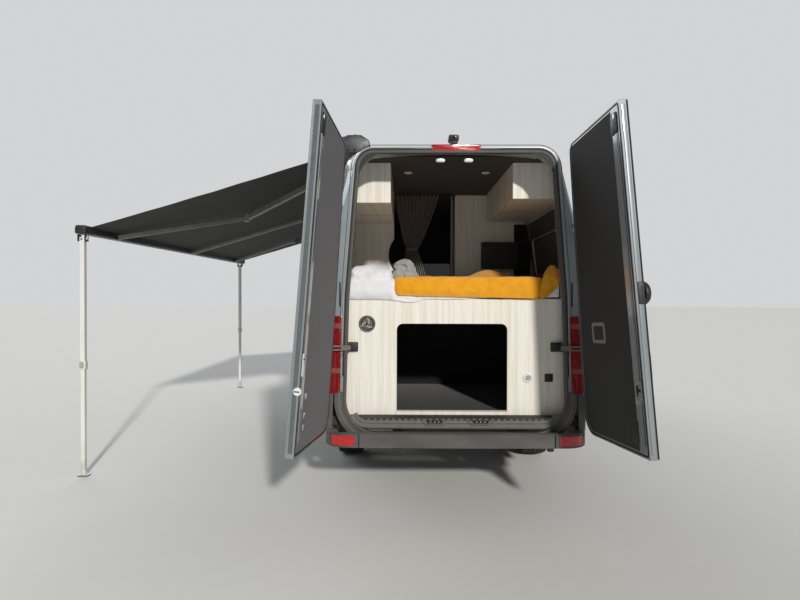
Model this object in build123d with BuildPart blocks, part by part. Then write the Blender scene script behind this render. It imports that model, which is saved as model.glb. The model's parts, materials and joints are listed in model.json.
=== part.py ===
from build123d import *
import math
import os

# Camper van: a long, high-roofed panel van with its rear doors open and its awning rolled out.
# Millimetres. While it is drawn, X points right, Y forward and Z up, with the middle of the
# rear door frame's face at X 0, Y 0 and the ground at Z 0. At the end every piece moves by one
# step, so that the origin lies on the ground under the middle of the whole object.

# Overall sizes
front_end = 6815
wheelbase = 4325
rear_axle_y = 1490
front_axle_y = rear_axle_y + wheelbase
side_low = 420
floor_top = 660
floor_thick = 60
wall = 60
seam = 6
fit = 0.3

# Wheels
tyre_radius = 356
tyre_width = 235
rim_radius = 203
half_track = 855
arch_radius = 432
well_inner_x = 672
well_skin = 12

# Body cross-sections from the tail forward, as half widths and heights
# y, low half, wide half, gutter half, shoulder half, shoulder z, edge half, edge z, top z
wide_z = 1000
gutter_z = 2050
sections = [
    (0, 903, 885, 800, 712, 2380, 590, 2508, 2535),
    (70, 925, 915, 838, 750, 2392, 620, 2535, 2562),
    (220, 940, 950, 880, 795, 2408, 655, 2568, 2600),
    (500, 950, 980, 912, 832, 2426, 695, 2610, 2655),
    (1100, 950, 993, 925, 850, 2440, 720, 2650, 2720),
    (4500, 950, 993, 925, 850, 2440, 720, 2650, 2720),
    (6900, 950, 993, 925, 850, 2440, 720, 2650, 2720),
]
roof_split_z = 2330
door_pillar_y = 4475

# Rear opening and doors
opening_half = 772
opening_middle_half = 743
opening_middle = 1500
opening_top_half = 665
opening_top = 2500
opening_corner = 200
opening_low_corner = 220
door_low = 590
door_top = 2535
door_inner_y = -8
door_outer_y = -58
hinge_x = 900
hinge_y = -35
hinge_z = 600
hinge_lean = 3.62
hinge_edge = 37
hinge_radius = 6
hinge_barrel = 34
hinge_heights = (800, 1400, 1960)
door_middle = 12
left_open = 94.5
right_open = 94.4
lamp_inner = 830
lamp_top = 1370

# Cab doors
cab_door_rear = 4535
cab_door_front = 5620
cab_door_low = 430
cab_hinge_x = 997
cab_hinge_y = 5617
cab_hinge_heights = (760, 1180)

# Windscreen and bonnet, in the side view
screen_base = (6120, 1330)
screen_top = (5400, 2130)
bonnet_edge = (6730, 1010)
bonnet_half = 730

# Pressed side panels, as rear Y, front Y, low Z and high Z
press_depth = 5
upper_panels = [(330, 1590, 1300, 2035), (1700, 2990, 1300, 2035)]
right_panel = (3110, 4400, 1300, 2035)
slide_panels = [(3170, 4365, 1300, 2035), (3170, 4365, 620, 1170)]
lower_panels = [(330, 900, 760, 1170), (2060, 2990, 620, 1170)]
right_low_panel = (3110, 4380, 620, 1170)
press_corner = 60
lip_height = 7
lip_width = 26

# Rear bumper
bumper_low = 488
bumper_top = 580

# Bed and boot
board_y = 120
board_thick = 18
board_half = 800
bed_top = 1490
boot_left = -410
boot_right = 380
boot_low = 684
boot_top = 1312
boot_corner = 45
ceiling_z = 2500
mattress_top = 1650
mattress_front = 132
mattress_back = 1450

# Tow bar holes in the rails, and the socket for the towing eye
tow_spacing_y = 160
tow_spacing_z = 56
tow_hole_radius = 6.5
jack_pad_z = 420
eye_x = 420
eye_z = 520
eye_radius = 10
eye_mouth = 6730

# Awning
case_low = 2640
case_high = 2780
case_inner = 640
case_outer = 880
case_front = 5300
case_rear = 550
lead_x = -3020
lead_z = 2050
lead_rear = 700
lead_front = 5200
leg_size = 40
leg_x = -3035
leg_rear_y = 758
leg_front_y = 5134
foot_gap = 0.5


def side_prism(points, low_x, high_x, corner=0, grow=0):
    """A prism seen from the side: points are (Y, Z), and it runs across the van."""
    with BuildPart() as prism:
        with BuildSketch(Plane.YZ.offset(low_x)) as outline:
            with BuildLine():
                Polyline(*points, close=True)
            make_face()
            if corner:
                fillet(outline.vertices(), corner)
            if grow:
                offset(amount=grow, kind=Kind.INTERSECTION)
        extrude(amount=high_x - low_x)
    return prism.part


def rear_prism(points, low_y, high_y, corner=0, grow=0):
    """A prism seen from behind: points are (X, Z), and it runs along the van."""
    with BuildPart() as prism:
        with BuildSketch(Plane.XZ.offset(-low_y)) as outline:
            with BuildLine():
                Polyline(*points, close=True)
            make_face()
            if corner:
                fillet(outline.vertices(), corner)
            if grow:
                offset(amount=grow, kind=Kind.INTERSECTION)
        extrude(amount=low_y - high_y)
    return prism.part


def plan_prism(points, low_z, high_z, corner=0):
    """A prism seen from above: points are (X, Y), and it stands up."""
    with BuildPart() as prism:
        with BuildSketch(Plane.XY.offset(low_z)) as outline:
            with BuildLine():
                Polyline(*points, close=True)
            make_face()
            if corner:
                fillet(outline.vertices(), corner)
        extrude(amount=high_z - low_z)
    return prism.part


def block(low_x, high_x, low_y, high_y, low_z, high_z):
    """A plain box between six coordinates."""
    return plan_prism([(low_x, low_y), (high_x, low_y), (high_x, high_y), (low_x, high_y)], low_z, high_z)


def joined(*solids):
    """Solids fused into one piece."""
    with BuildPart() as piece:
        for solid in solids:
            add(solid)
    return piece.part


def common(first, *others):
    """What all the solids share."""
    with BuildPart() as piece:
        add(first)
        for other in others:
            add(other, mode=Mode.INTERSECT)
    return piece.part


def cut(first, *others):
    """The first solid without the others."""
    with BuildPart() as piece:
        add(first)
        for other in others:
            add(other, mode=Mode.SUBTRACT)
    return piece.part


def mirrored(solid):
    """The same piece on the other side of the van."""
    with BuildPart() as piece:
        add(solid)
        mirror(about=Plane.YZ, mode=Mode.REPLACE)
    return piece.part


def hull(inset=0, low_z=side_low):
    """The van's outer form, or the same form a wall's thickness further in."""
    with BuildPart() as body:
        for y, low, wide, gutter, shoulder, shoulder_z, edge, edge_z, top in sections:
            with BuildSketch(Plane.XZ.offset(-y)):
                with BuildLine():
                    side_start = (low - inset, side_low)
                    side_end = (gutter - inset, gutter_z)
                    bend_start = (shoulder - inset, shoulder_z)
                    bend_end = (edge - inset, edge_z - inset)
                    bend_x = (shoulder + edge) / 2 - inset + 28
                    bend_z = (shoulder_z + edge_z - inset) / 2 + 30
                    if low_z < side_low:
                        Line((0, low_z), (low - inset, low_z))
                        Line((low - inset, low_z), side_start)
                    else:
                        Line((0, low_z), side_start)
                    ThreePointArc(side_start, (wide - inset, wide_z), side_end)
                    Line(side_end, bend_start)
                    ThreePointArc(bend_start, (bend_x, bend_z), bend_end)
                    ThreePointArc(bend_end, (edge / 2, top - inset - (top - edge_z) / 4), (0, top - inset))
                    Line((0, top - inset), (0, low_z))
                make_face()
        loft(ruled=True)
        mirror(about=Plane.YZ)
        slope = Plane(origin=(-1200, -0.8 * inset, -0.62 * inset), x_dir=(0, 1, 0), z_dir=(1, 0, 0))
        with BuildSketch(slope):
            with BuildLine():
                Line((-200, 100), (6700, 100))
                Line((6700, 100), (6790, 420))
                ThreePointArc((6790, 420), (front_end, 700), bonnet_edge)
                ThreePointArc(bonnet_edge, (6440, 1205), screen_base)
                ThreePointArc(screen_base, (5775, 1750), screen_top)
                ThreePointArc(screen_top, (5180, 2390), (4850, 2590))
                ThreePointArc((4850, 2590), (4500, 2700), (4100, 2730))
                Line((4100, 2730), (4100, 2900))
                Line((4100, 2900), (-200, 2900))
                Line((-200, 2900), (-200, 100))
            make_face()
        extrude(amount=2400, mode=Mode.INTERSECT)
        side = 1000 - inset
        cheek = (948 - inset, 6330 - 0.3 * inset)
        corner = (790 - 0.7 * inset, 6700 - 0.75 * inset)
        with BuildSketch(Plane.XY):
            with BuildLine():
                Polyline((-side, 5650), (-side, -10), (side, -10), (side, 5650))
                ThreePointArc((side, 5650), cheek, corner)
                ThreePointArc(corner, (0, front_end - inset), (-corner[0], corner[1]))
                ThreePointArc((-corner[0], corner[1]), (-cheek[0], cheek[1]), (-side, 5650))
            make_face()
        extrude(amount=3000, mode=Mode.INTERSECT)
    return body.part


def wheel_arch(centre_y, radius, inner_x, outer_x):
    """A round wheel arch running in from one side."""
    with BuildPart() as arch:
        with BuildSketch(Plane.YZ.offset(inner_x)):
            with Locations((centre_y, tyre_radius)):
                Circle(radius)
        extrude(amount=outer_x - inner_x)
    return arch.part


pieces = {}

# Outlines that several panels share
opening_right = [(opening_half, 560), (opening_middle_half, opening_middle), (opening_top_half, opening_top)]
opening_outline = [*opening_right, *[(-x, z) for x, z in reversed(opening_right)]]
pillar_line = [(cab_door_front, 1690), (5315, 2035)]
cab_door_outline = [(cab_door_rear, cab_door_low), (cab_door_front, cab_door_low), *pillar_line, (cab_door_rear, 2035)]
cab_window_outline = [(4640, 1340), (cab_door_front - 75, 1300), (cab_door_front - 75, 1650), (5285, 1965), (4640, 1965)]
quarter_outline = [(5690, 1400), (5945, 1400), (5690, 1655)]
screen_outline = [(-790, 1400), (790, 1400), (700, 2050), (-700, 2050)]
slide_rear = 3110
slide_front = 4425
slide_outline = [(slide_rear, 450), (slide_front, 450), (slide_front, 2120), (slide_rear, 2120)]
side_window_outline = [(slide_rear + 130, 1350), (slide_front - 130, 1350), (slide_front - 130, 1960), (slide_rear + 130, 1960)]
bed_window_outline = [(520, 1640), (1480, 1640), (1480, 2010), (520, 2010)]
bonnet_outline = [(screen_base[0] + 2, 1500), (screen_base[0] + 2, 1245), (6500, 1075), (6680, 950), (6850, 950), (6850, 1500)]
lamp_outline = [(lamp_inner, 830), (960, 830), (960, lamp_top), (lamp_inner - 28, lamp_top)]
headlamp_outline = [(410, 690), (1000, 730), (1000, 1000), (560, 935), (410, 935)]

outer = hull()
inner = common(hull(wall, side_low - 60), block(-1100, 1100, wall, 7000, 0, 3000))
shell = cut(outer, inner)
cabin = common(hull(wall + 2, 300), block(-1100, 1100, wall, 6000, floor_top, 3000))
pane = cut(hull(6), hull(14, side_low - 60))

with BuildPart() as door_hole:
    with BuildSketch(Plane.XZ.offset(100)) as hole_face:
        with BuildLine():
            Polyline(*opening_outline, close=True)
        make_face()
        fillet(hole_face.vertices().sort_by(Axis.Y)[:2], opening_low_corner)
        fillet(hole_face.vertices().sort_by(Axis.Y)[-2:], opening_corner)
    extrude(amount=-(wall + 160))
rear_opening = door_hole.part
rear_wells = joined(
    wheel_arch(rear_axle_y, arch_radius, well_inner_x, 1100),
    wheel_arch(rear_axle_y, arch_radius, -1100, -well_inner_x),
)
front_arches = joined(
    wheel_arch(front_axle_y, arch_radius, 500, 1100),
    wheel_arch(front_axle_y, arch_radius, -1100, -500),
)
tail_lamps = common(
    outer,
    joined(rear_prism(lamp_outline, -10, 105), mirrored(rear_prism(lamp_outline, -10, 105))),
)
corner_outline = [(960, bumper_top), (740, bumper_top), (788, 640), (820, 730), (lamp_inner, 829), (960, 829)]
tail_corners = common(
    outer,
    joined(rear_prism(corner_outline, -10, 105), mirrored(rear_prism(corner_outline, -10, 105))),
)
bumper_space = joined(block(-1100, 1100, -200, 375, 0, bumper_top), tail_corners)


def pressed(solid, *panels):
    """A side panel with shallow rounded pressings, each given as rear Y, front Y, low Z and high Z."""
    for rear_y, front_y, low_z, high_z in panels:
        corners = [(rear_y, low_z), (front_y, low_z), (front_y, high_z), (rear_y, high_z)]
        solid = cut(solid, cut(side_prism(corners, -1100, 1100, press_corner), pressed_hull))
    return solid


def arch_lip(centre_y):
    """The raised lips round the arches of one axle."""
    band = cut(
        wheel_arch(centre_y, arch_radius + lip_width, -1100, 1100),
        wheel_arch(centre_y, arch_radius, -1100, 1100),
    )
    return cut(common(hull(-lip_height), band), hull(20))


pressed_hull = hull(press_depth)
rear_lips = arch_lip(rear_axle_y)

# Load space panels, one each side, with their wheel arches and windows
side_region = block(0, 1100, -10, door_pillar_y, 0, roof_split_z)
right_side = cut(
    common(shell, side_region),
    rear_opening,
    rear_wells,
    tail_lamps,
    bumper_space,
    side_prism(side_window_outline, 700, 1100, 60),
    side_prism(bed_window_outline, 700, 1100, 60),
)
right_side = pressed(right_side, *upper_panels, *lower_panels, right_panel, right_low_panel)
right_side = joined(right_side, common(rear_lips, block(0, 1100, 0, 3000, 0, 1000)))
left_side = cut(
    common(shell, mirrored(side_region)),
    rear_opening,
    rear_wells,
    tail_lamps,
    bumper_space,
    side_prism(slide_outline, -1100, -700, 0, seam),
)
slide_rail = [(1750, 1226), (slide_rear - 12, 1226), (slide_rear - 12, 1262), (1750, 1262)]
rail_groove = cut(side_prism(slide_rail, -1100, -700), hull(9))
left_side = cut(pressed(left_side, *upper_panels, *lower_panels), rail_groove)
left_side = joined(left_side, common(rear_lips, block(-1100, 0, 0, 3000, 0, 1000)))

# Sliding door, shut
sliding_door = cut(
    common(shell, side_prism(slide_outline, -1100, -700)),
    side_prism(side_window_outline, -1100, -700, 60),
)
pieces["sliding_door"] = pressed(sliding_door, *slide_panels)

# High roof with the header over the rear doors
roof = cut(common(shell, block(-1100, 1100, -10, 6000, roof_split_z, 3000)), rear_opening)
brake_lamp_space = rear_prism([(-168, 2538), (168, 2538), (152, 2576), (-152, 2576)], -10, 130)
roof_ribs = [
    cut(plan_prism([(-540, y), (540, y), (540, y + 80), (-540, y + 80)], 2600, 2900, 30), pressed_hull)
    for y in range(700, 4000, 540)
]
pieces["roof_panel"] = cut(roof, brake_lamp_space, *roof_ribs)

# Cab frame: pillars, sills, screen header, and the bulkhead in front of the driver's feet
cab_region = block(-1100, 1100, door_pillar_y, 6300, 0, roof_split_z)
wing_region = block(-1100, 1100, cab_door_front + seam, 7000, 0, screen_base[1] + 5)
both_doors = joined(
    side_prism(cab_door_outline, 700, 1100, 0, seam),
    side_prism(cab_door_outline, -1100, -700, 0, seam),
)
screen_hole = rear_prism(screen_outline, 5000, 6300, 60)
quarter_holes = side_prism(quarter_outline, -1100, 1100, 25)
bonnet_space = common(
    side_prism(bonnet_outline, -bonnet_half - seam, bonnet_half + seam, 0, seam),
    block(-1100, 1100, screen_base[0] - 20, 7000, 0, 3000),
)
cab_frame = cut(
    common(shell, cab_region),
    wing_region,
    both_doors,
    bonnet_space,
    screen_hole,
    quarter_holes,
    front_arches,
)
bulkhead_profile = [
    (5700, floor_top),
    (5720, floor_top),
    (5720, 1200),
    (6075, 1200),
    (6075, 1330),
    (6055, 1330),
    (6055, 1220),
    (5700, 1220),
]
bulkhead = cut(common(side_prism(bulkhead_profile, -1000, 1000), hull(wall, 300)), front_arches)
pieces["cab_frame"] = cab_frame
pieces["bulkhead"] = bulkhead

# Nose: wings, bonnet, bumper, grille and headlamps
bonnet = common(shell, side_prism(bonnet_outline, -bonnet_half, bonnet_half))
pieces["bonnet"] = bonnet
headlamp_space = joined(
    rear_prism(headlamp_outline, 6380, 7000),
    mirrored(rear_prism(headlamp_outline, 6380, 7000)),
)
nose_bumper_space = block(-1100, 1100, front_axle_y + arch_radius - 20, 7000, 0, 640)
grille_space = block(-410, 410, 6400, 7000, 640, 935)
wings = cut(
    common(shell, wing_region),
    front_arches,
    bonnet_space,
    headlamp_space,
    nose_bumper_space,
    grille_space,
)
pin_y = screen_base[0] + 6
pin_z = screen_base[1] - 8
bonnet_pins = []
for side in (-1, 1):
    with BuildPart() as pin:
        with BuildSketch(Plane.YZ.offset(min(side * (bonnet_half + fit), side * (bonnet_half + 30)))):
            with Locations((pin_y, pin_z)):
                Circle(5)
        extrude(amount=30 - fit)
    bonnet_pins.append(pin.part)
front_lips = cut(common(arch_lip(front_axle_y), wing_region), nose_bumper_space)
wing_barrels = []
for side in (-1, 1):
    for height in cab_hinge_heights:
        for step_z in (-hinge_barrel, hinge_barrel):
            low_z = height + step_z - hinge_barrel / 2
            with BuildPart() as wing_barrel:
                with BuildSketch(Plane.XY.offset(low_z)):
                    with Locations((side * cab_hinge_x, cab_hinge_y)):
                        Circle(hinge_radius)
                extrude(amount=hinge_barrel)
                add(block(min(side * 975, side * 1001), max(side * 975, side * 1001), cab_hinge_y, cab_hinge_y + 25, low_z + 4, low_z + hinge_barrel - 4))
            wing_barrels.append(wing_barrel.part)
pieces["front_wings"] = joined(wings, front_lips, *bonnet_pins, *wing_barrels)
pieces["headlamps"] = cut(common(shell, headlamp_space), bonnet_space, nose_bumper_space)
low_hull = cut(hull(0, 260), hull(wall, 200))
bumper_mouth = rear_prism([(-430, 330), (430, 330), (470, 430), (-470, 430)], 6400, 7000)
with BuildPart() as eye_hole:
    with BuildSketch(Plane.XZ.offset(-6500)):
        with Locations((eye_x, eye_z)):
            Circle(eye_radius + 18)
    extrude(amount=-500)
pieces["front_bumper"] = cut(common(low_hull, nose_bumper_space), front_arches, bumper_mouth, eye_hole.part)
grille_blank = cut(common(shell, grille_space), bonnet_space)
slots = [block(-375, 375, 6400, 7000, 670 + 62 * row, 708 + 62 * row) for row in range(4)]
pieces["grille"] = cut(grille_blank, *slots)

# Glass that is bonded in
pieces["windscreen"] = common(pane, screen_hole)
pieces["side_windows"] = joined(
    common(pane, side_prism(side_window_outline, 700, 1100, 60)),
    common(pane, side_prism(side_window_outline, -1100, -700, 60)),
    common(pane, side_prism(bed_window_outline, 700, 1100, 60)),
    common(pane, quarter_holes),
)

# Cab doors with their windows and mirrors, drawn on the right
door_solid = cut(
    common(shell, side_prism(cab_door_outline, 700, 1100)),
    wheel_arch(front_axle_y, arch_radius + seam, 600, 1100),
    side_prism(cab_window_outline, 700, 1100, 40),
)
with BuildPart() as mirror_housing:
    with BuildSketch(Plane.XZ.offset(-5330)):
        with Locations((1150, 1560)):
            RectangleRounded(190, 370, 50)
    extrude(amount=-110, taper=8)
    add(block(960, 1150, 5385, 5425, 1245, 1285))
    add(block(1110, 1150, 5385, 5425, 1245, 1400))
with BuildPart() as cab_barrels:
    for height in cab_hinge_heights:
        with BuildSketch(Plane.XY.offset(height - hinge_barrel / 2 + fit)):
            with Locations((cab_hinge_x, cab_hinge_y)):
                Circle(hinge_radius)
        extrude(amount=hinge_barrel - 2 * fit)
        add(block(970, 999, cab_hinge_y - 22, cab_hinge_y - 3, height - hinge_barrel / 2 + 3, height + hinge_barrel / 2 - 3))
barrel_notches = [
    block(960, 1020, cab_hinge_y - 9, cab_hinge_y + 40, height + step_z - hinge_barrel / 2 - 1, height + step_z + hinge_barrel / 2 + 1)
    for height in cab_hinge_heights
    for step_z in (-hinge_barrel, hinge_barrel)
]
door_right = joined(cut(door_solid, *barrel_notches), cut(mirror_housing.part, hull(0)), cab_barrels.part)
pieces["cab_door_right"] = door_right
pieces["cab_door_left"] = mirrored(door_right)
door_glass = common(pane, side_prism(cab_window_outline, 700, 1100, 40))
pieces["cab_glass_right"] = door_glass
pieces["cab_glass_left"] = mirrored(door_glass)

# Floor and chassis: load floor, two rails, cross members, rear sill and wheel wells
well_skins = cut(
    joined(
        wheel_arch(rear_axle_y, arch_radius + well_skin, well_inner_x - well_skin, 1100),
        wheel_arch(rear_axle_y, arch_radius + well_skin, -1100, -well_inner_x + well_skin),
    ),
    rear_wells,
    block(-1100, 1100, 0, 4000, 0, floor_top - floor_thick),
)
floor_space = common(hull(wall, 300), block(-1100, 1100, 5, 5700, 0, 1200))
rail_x = 400
rails = [
    side_prism([(60, 430), (1000, 430), (1250, 470), (1750, 470), (2000, 430), (6570, 430), (6570, 560), (2000, 600), (60, 600)], x - 35, x + 35)
    for x in (-rail_x, rail_x)
]
cross_members = [block(-rail_x, rail_x, y, y + 90, 475, 560) for y in (390, 1050, 2150, 3300, 4400)]
floor_plate = cut(
    common(block(-1000, 1000, wall, 5700, floor_top - floor_thick, floor_top), floor_space),
    rear_wells,
    front_arches,
)
rear_sill = common(block(-opening_half, opening_half, 5, wall, bumper_top + 2, floor_top), rear_opening)
crash_beam = block(-520, 520, 6560, 6620, 450, 560)
jack_pads = [block(x - 30, x + 30, 2960, 3040, jack_pad_z, 440) for x in (-rail_x, rail_x)]
with BuildPart() as tow_holes:
    for x in (-rail_x, rail_x):
        with BuildSketch(Plane.YZ.offset(x - 60)):
            with Locations((250, 520)):
                with GridLocations(tow_spacing_y, tow_spacing_z, 2, 2):
                    Circle(tow_hole_radius)
        extrude(amount=120)
    with BuildSketch(Plane.XZ.offset(-6640)):
        with Locations((eye_x, eye_z)):
            Circle(eye_radius)
    extrude(amount=-(eye_mouth - 6640) - 1)
with BuildPart() as eye_socket:
    with BuildSketch(Plane.XZ.offset(-6610)):
        with Locations((eye_x, eye_z)):
            Circle(eye_radius + 9)
    extrude(amount=6610 - eye_mouth)
floor_frame = cut(
    joined(
        floor_plate,
        common(well_skins, floor_space),
        rear_sill,
        crash_beam,
        eye_socket.part,
        *jack_pads,
        *rails,
        *cross_members,
    ),
    tow_holes.part,
)
pieces["floor_frame"] = floor_frame

# Rear bumper with its step, hollow behind, on two brackets from the rails


def bumper_outline(inset, low_z, high_z):
    """The bumper's outline from above, a wall's thickness further in, between two heights."""
    with BuildPart() as bar:
        with BuildSketch(Plane.XY.offset(low_z)):
            with BuildLine():
                Polyline((905 - inset, 60), (925 - inset, 200), (925 - inset, 375), (inset - 925, 375), (inset - 925, 200), (inset - 905, 60))
                ThreePointArc((inset - 905, 60), (inset - 850, -75 + inset), (inset - 740, -122 + inset))
                ThreePointArc((inset - 740, -122 + inset), (0, -132 + inset), (740 - inset, -122 + inset))
                ThreePointArc((740 - inset, -122 + inset), (850 - inset, -75 + inset), (905 - inset, 60))
            make_face()
        extrude(amount=high_z - low_z)
    return bar.part


rear_bumper = cut(
    joined(
        cut(bumper_outline(0, bumper_low, bumper_top), bumper_outline(56, 400, 700)),
        common(bumper_outline(0, bumper_top - 34, bumper_top - 22), block(-1000, 1000, -200, 3, 0, 700)),
        block(-rail_x - 35, -rail_x + 35, -72, 60, 500, bumper_top - 30),
        block(rail_x - 35, rail_x + 35, -72, 60, 500, bumper_top - 30),
    ),
    block(-1000, 1000, -66, 3, bumper_top - 22, 700),
)
rear_bumper = joined(rear_bumper, cut(tail_corners, hull(45, 300)))
pieces["rear_bumper"] = rear_bumper

# Lamps at the tail
reflector_space = rear_prism([(690, 504), (850, 504), (850, 568), (690, 568)], -200, -20)
reflectors = cut(
    common(bumper_outline(-4, bumper_low, bumper_top), joined(reflector_space, mirrored(reflector_space))),
    bumper_outline(0, bumper_low, bumper_top),
)
pieces["rear_lamps"] = joined(cut(tail_lamps, hull(45, 300)), reflectors)
pieces["brake_lamp"] = common(outer, brake_lamp_space, block(-300, 300, -10, 130, 2500, 2600))

# Rear doors, drawn shut and then swung open to where they stand
lean_x = math.tan(math.radians(hinge_lean))


def hinge_line_x(z):
    """Where the leaning hinge line lies at a height."""
    return hinge_x - (z - hinge_z) * lean_x


def door_outline(inner_gap, outer_gap, low_gap, top_gap):
    """A rear door's outline, a gap in from its four edges."""
    low = door_low + low_gap
    top = door_top - top_gap
    return [
        (door_middle + inner_gap, low),
        (hinge_line_x(low) - hinge_edge - outer_gap, low),
        (hinge_line_x(top) - hinge_edge - outer_gap, top),
        (door_middle + inner_gap, top),
    ]


with BuildPart() as rear_door:
    with BuildSketch(Plane.XZ.offset(-door_outer_y)) as door_face:
        with BuildLine():
            Polyline(*door_outline(0, 0, 0, 0), close=True)
        make_face()
        fillet(door_face.vertices().sort_by(Axis.X)[-1:], 135)
        fillet(door_face.vertices().sort_by(Axis.Y)[-2:].sort_by(Axis.X)[-1:], 60)
    extrude(amount=door_outer_y - door_inner_y)
    with BuildSketch(Plane.XZ.offset(-door_inner_y)) as lining_pocket:
        with BuildLine():
            Polyline(*door_outline(105, 28, 28, 28), close=True)
        make_face()
        fillet(lining_pocket.vertices().sort_by(Axis.X)[-1:], 110)
    extrude(amount=8, mode=Mode.SUBTRACT)
    for low_gap, top_gap in ((860, 110), (110, 1130)):
        with BuildSketch(Plane.XZ.offset(-door_outer_y)) as door_pressing:
            with BuildLine():
                Polyline(*door_outline(90, 100, low_gap, top_gap), close=True)
            make_face()
            fillet(door_pressing.vertices(), press_corner)
        extrude(amount=-press_depth, mode=Mode.SUBTRACT)
with BuildPart() as door_lining:
    with BuildSketch(Plane.XZ.offset(-door_inner_y)) as lining_face:
        with BuildLine():
            Polyline(*door_outline(105, 28, 28, 28), close=True)
        make_face()
        fillet(lining_face.vertices().sort_by(Axis.X)[-1:], 110)
    extrude(amount=8)
# Three hinges a side: the middle barrel of each turns with the door, the outer two stay on the van
with BuildPart() as door_barrels:
    for height in hinge_heights:
        centre = (hinge_line_x(height), hinge_y, height)
        with BuildSketch(Plane(origin=centre, z_dir=(-lean_x, 0, 1))):
            Circle(hinge_radius)
        extrude(amount=hinge_barrel / 2 - fit, both=True)
        leaf_start = centre[0] - hinge_edge - 23
        leaf_half = hinge_barrel / 2 - 3
        add(block(leaf_start, centre[0] - 3, hinge_y - 6, hinge_y + 6, height - leaf_half, height + leaf_half))
with BuildPart() as body_barrels:
    for height in hinge_heights:
        for step_z in (-hinge_barrel, hinge_barrel):
            centre = (hinge_line_x(height + step_z), hinge_y, height + step_z)
            with BuildSketch(Plane(origin=centre, z_dir=(-lean_x, 0, 1))):
                Circle(hinge_radius)
            extrude(amount=hinge_barrel / 2, both=True)
            add(block(centre[0] - 5, centre[0] + 5, hinge_y, 40, centre[2] - 15, centre[2] + 15))
hinge_leaves = cut(body_barrels.part, tail_lamps, tail_corners)
pieces["body_side_right"] = joined(right_side, hinge_leaves)
pieces["body_side_left"] = joined(left_side, mirrored(hinge_leaves))
for side, name, angle in ((-1, "left", left_open), (1, "right", right_open)):
    hinge_axis = Axis((side * hinge_x, hinge_y, hinge_z), (-side * lean_x, 0, 1))
    for base, solid in (("rear_door", joined(rear_door.part, door_barrels.part)), ("rear_lining", door_lining.part)):
        closed = solid if side > 0 else mirrored(solid)
        pieces[f"{base}_{name}"] = closed.rotate(hinge_axis, side * angle)

# Wheels: tyre and pressed steel rim, drawn about the axle line and set at each corner
with BuildPart() as tyre:
    with BuildSketch(Plane.XY) as tyre_section:
        with BuildLine():
            half = tyre_width / 2
            Polyline((-half + 22, rim_radius), (half - 22, rim_radius))
            ThreePointArc((half - 22, rim_radius), (half, rim_radius + 75), (half - 14, tyre_radius - 14))
            ThreePointArc((half - 14, tyre_radius - 14), (0, tyre_radius), (-half + 14, tyre_radius - 14))
            ThreePointArc((-half + 14, tyre_radius - 14), (-half, rim_radius + 75), (-half + 22, rim_radius))
        make_face()
        for groove in (-60, -20, 20, 60):
            with Locations((groove, tyre_radius)):
                Rectangle(9, 16, mode=Mode.SUBTRACT)
    revolve(axis=Axis.X)
with BuildPart() as rim:
    with BuildSketch(Plane.XY) as rim_section:
        with BuildLine():
            Polyline(
                (-92, rim_radius), (92, rim_radius), (92, rim_radius - 12), (60, rim_radius - 30),
                (48, 150), (62, 120), (40, 95), (40, 30), (62, 30), (62, 0), (20, 0), (20, 60),
                (26, 100), (36, 130), (34, rim_radius - 32), (-92, rim_radius - 14), close=True,
            )
        make_face()
    revolve(axis=Axis.X)
    with BuildSketch(Plane.YZ.offset(80)):
        with PolarLocations(120, 12):
            SlotOverall(34, 18, rotation=90)
    extrude(amount=-80, mode=Mode.SUBTRACT)
for axle, y in (("front", front_axle_y), ("rear", rear_axle_y)):
    for side, name in ((-1, "left"), (1, "right")):
        place = Location((side * half_track, y, tyre_radius))
        for base, solid in (("tyre", tyre.part), ("rim", rim.part)):
            turned = solid if side > 0 else mirrored(solid)
            pieces[f"{base}_{axle}_{name}"] = turned.moved(place)

# Rear axle: beam, differential, leaf springs and propeller shaft
hub_face = half_track + 20 - fit
with BuildPart() as rear_axle:
    with BuildSketch(Plane.YZ.offset(-hub_face)):
        with Locations((rear_axle_y, tyre_radius)):
            Circle(45)
    extrude(amount=2 * hub_face)
    with Locations((0, rear_axle_y, tyre_radius)):
        Sphere(120)
    for side in (-1, 1):
        with BuildSketch(Plane.YZ.offset(side * 560 - 35)):
            with BuildLine():
                ThreePointArc((rear_axle_y - 750, 470), (rear_axle_y, 405), (rear_axle_y + 750, 470))
                Line((rear_axle_y + 750, 470), (rear_axle_y + 750, 500))
                ThreePointArc((rear_axle_y + 750, 500), (rear_axle_y, 435), (rear_axle_y - 750, 500))
                Line((rear_axle_y - 750, 500), (rear_axle_y - 750, 470))
            make_face()
        extrude(amount=70)
        for end in (-740, 740):
            add(block(side * 560 - 40, side * 560 + 40, rear_axle_y + end - 30, rear_axle_y + end + 30, 480, 600))
        add(block(side * 560 - 50, side * 560 + 50, rear_axle_y - 60, rear_axle_y + 60, 380, 440))
    with BuildSketch(Plane.XZ.offset(-rear_axle_y - 100)):
        with Locations((0, tyre_radius + 10)):
            Circle(42)
    extrude(amount=-3500)
pieces["rear_axle"] = rear_axle.part

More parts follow.
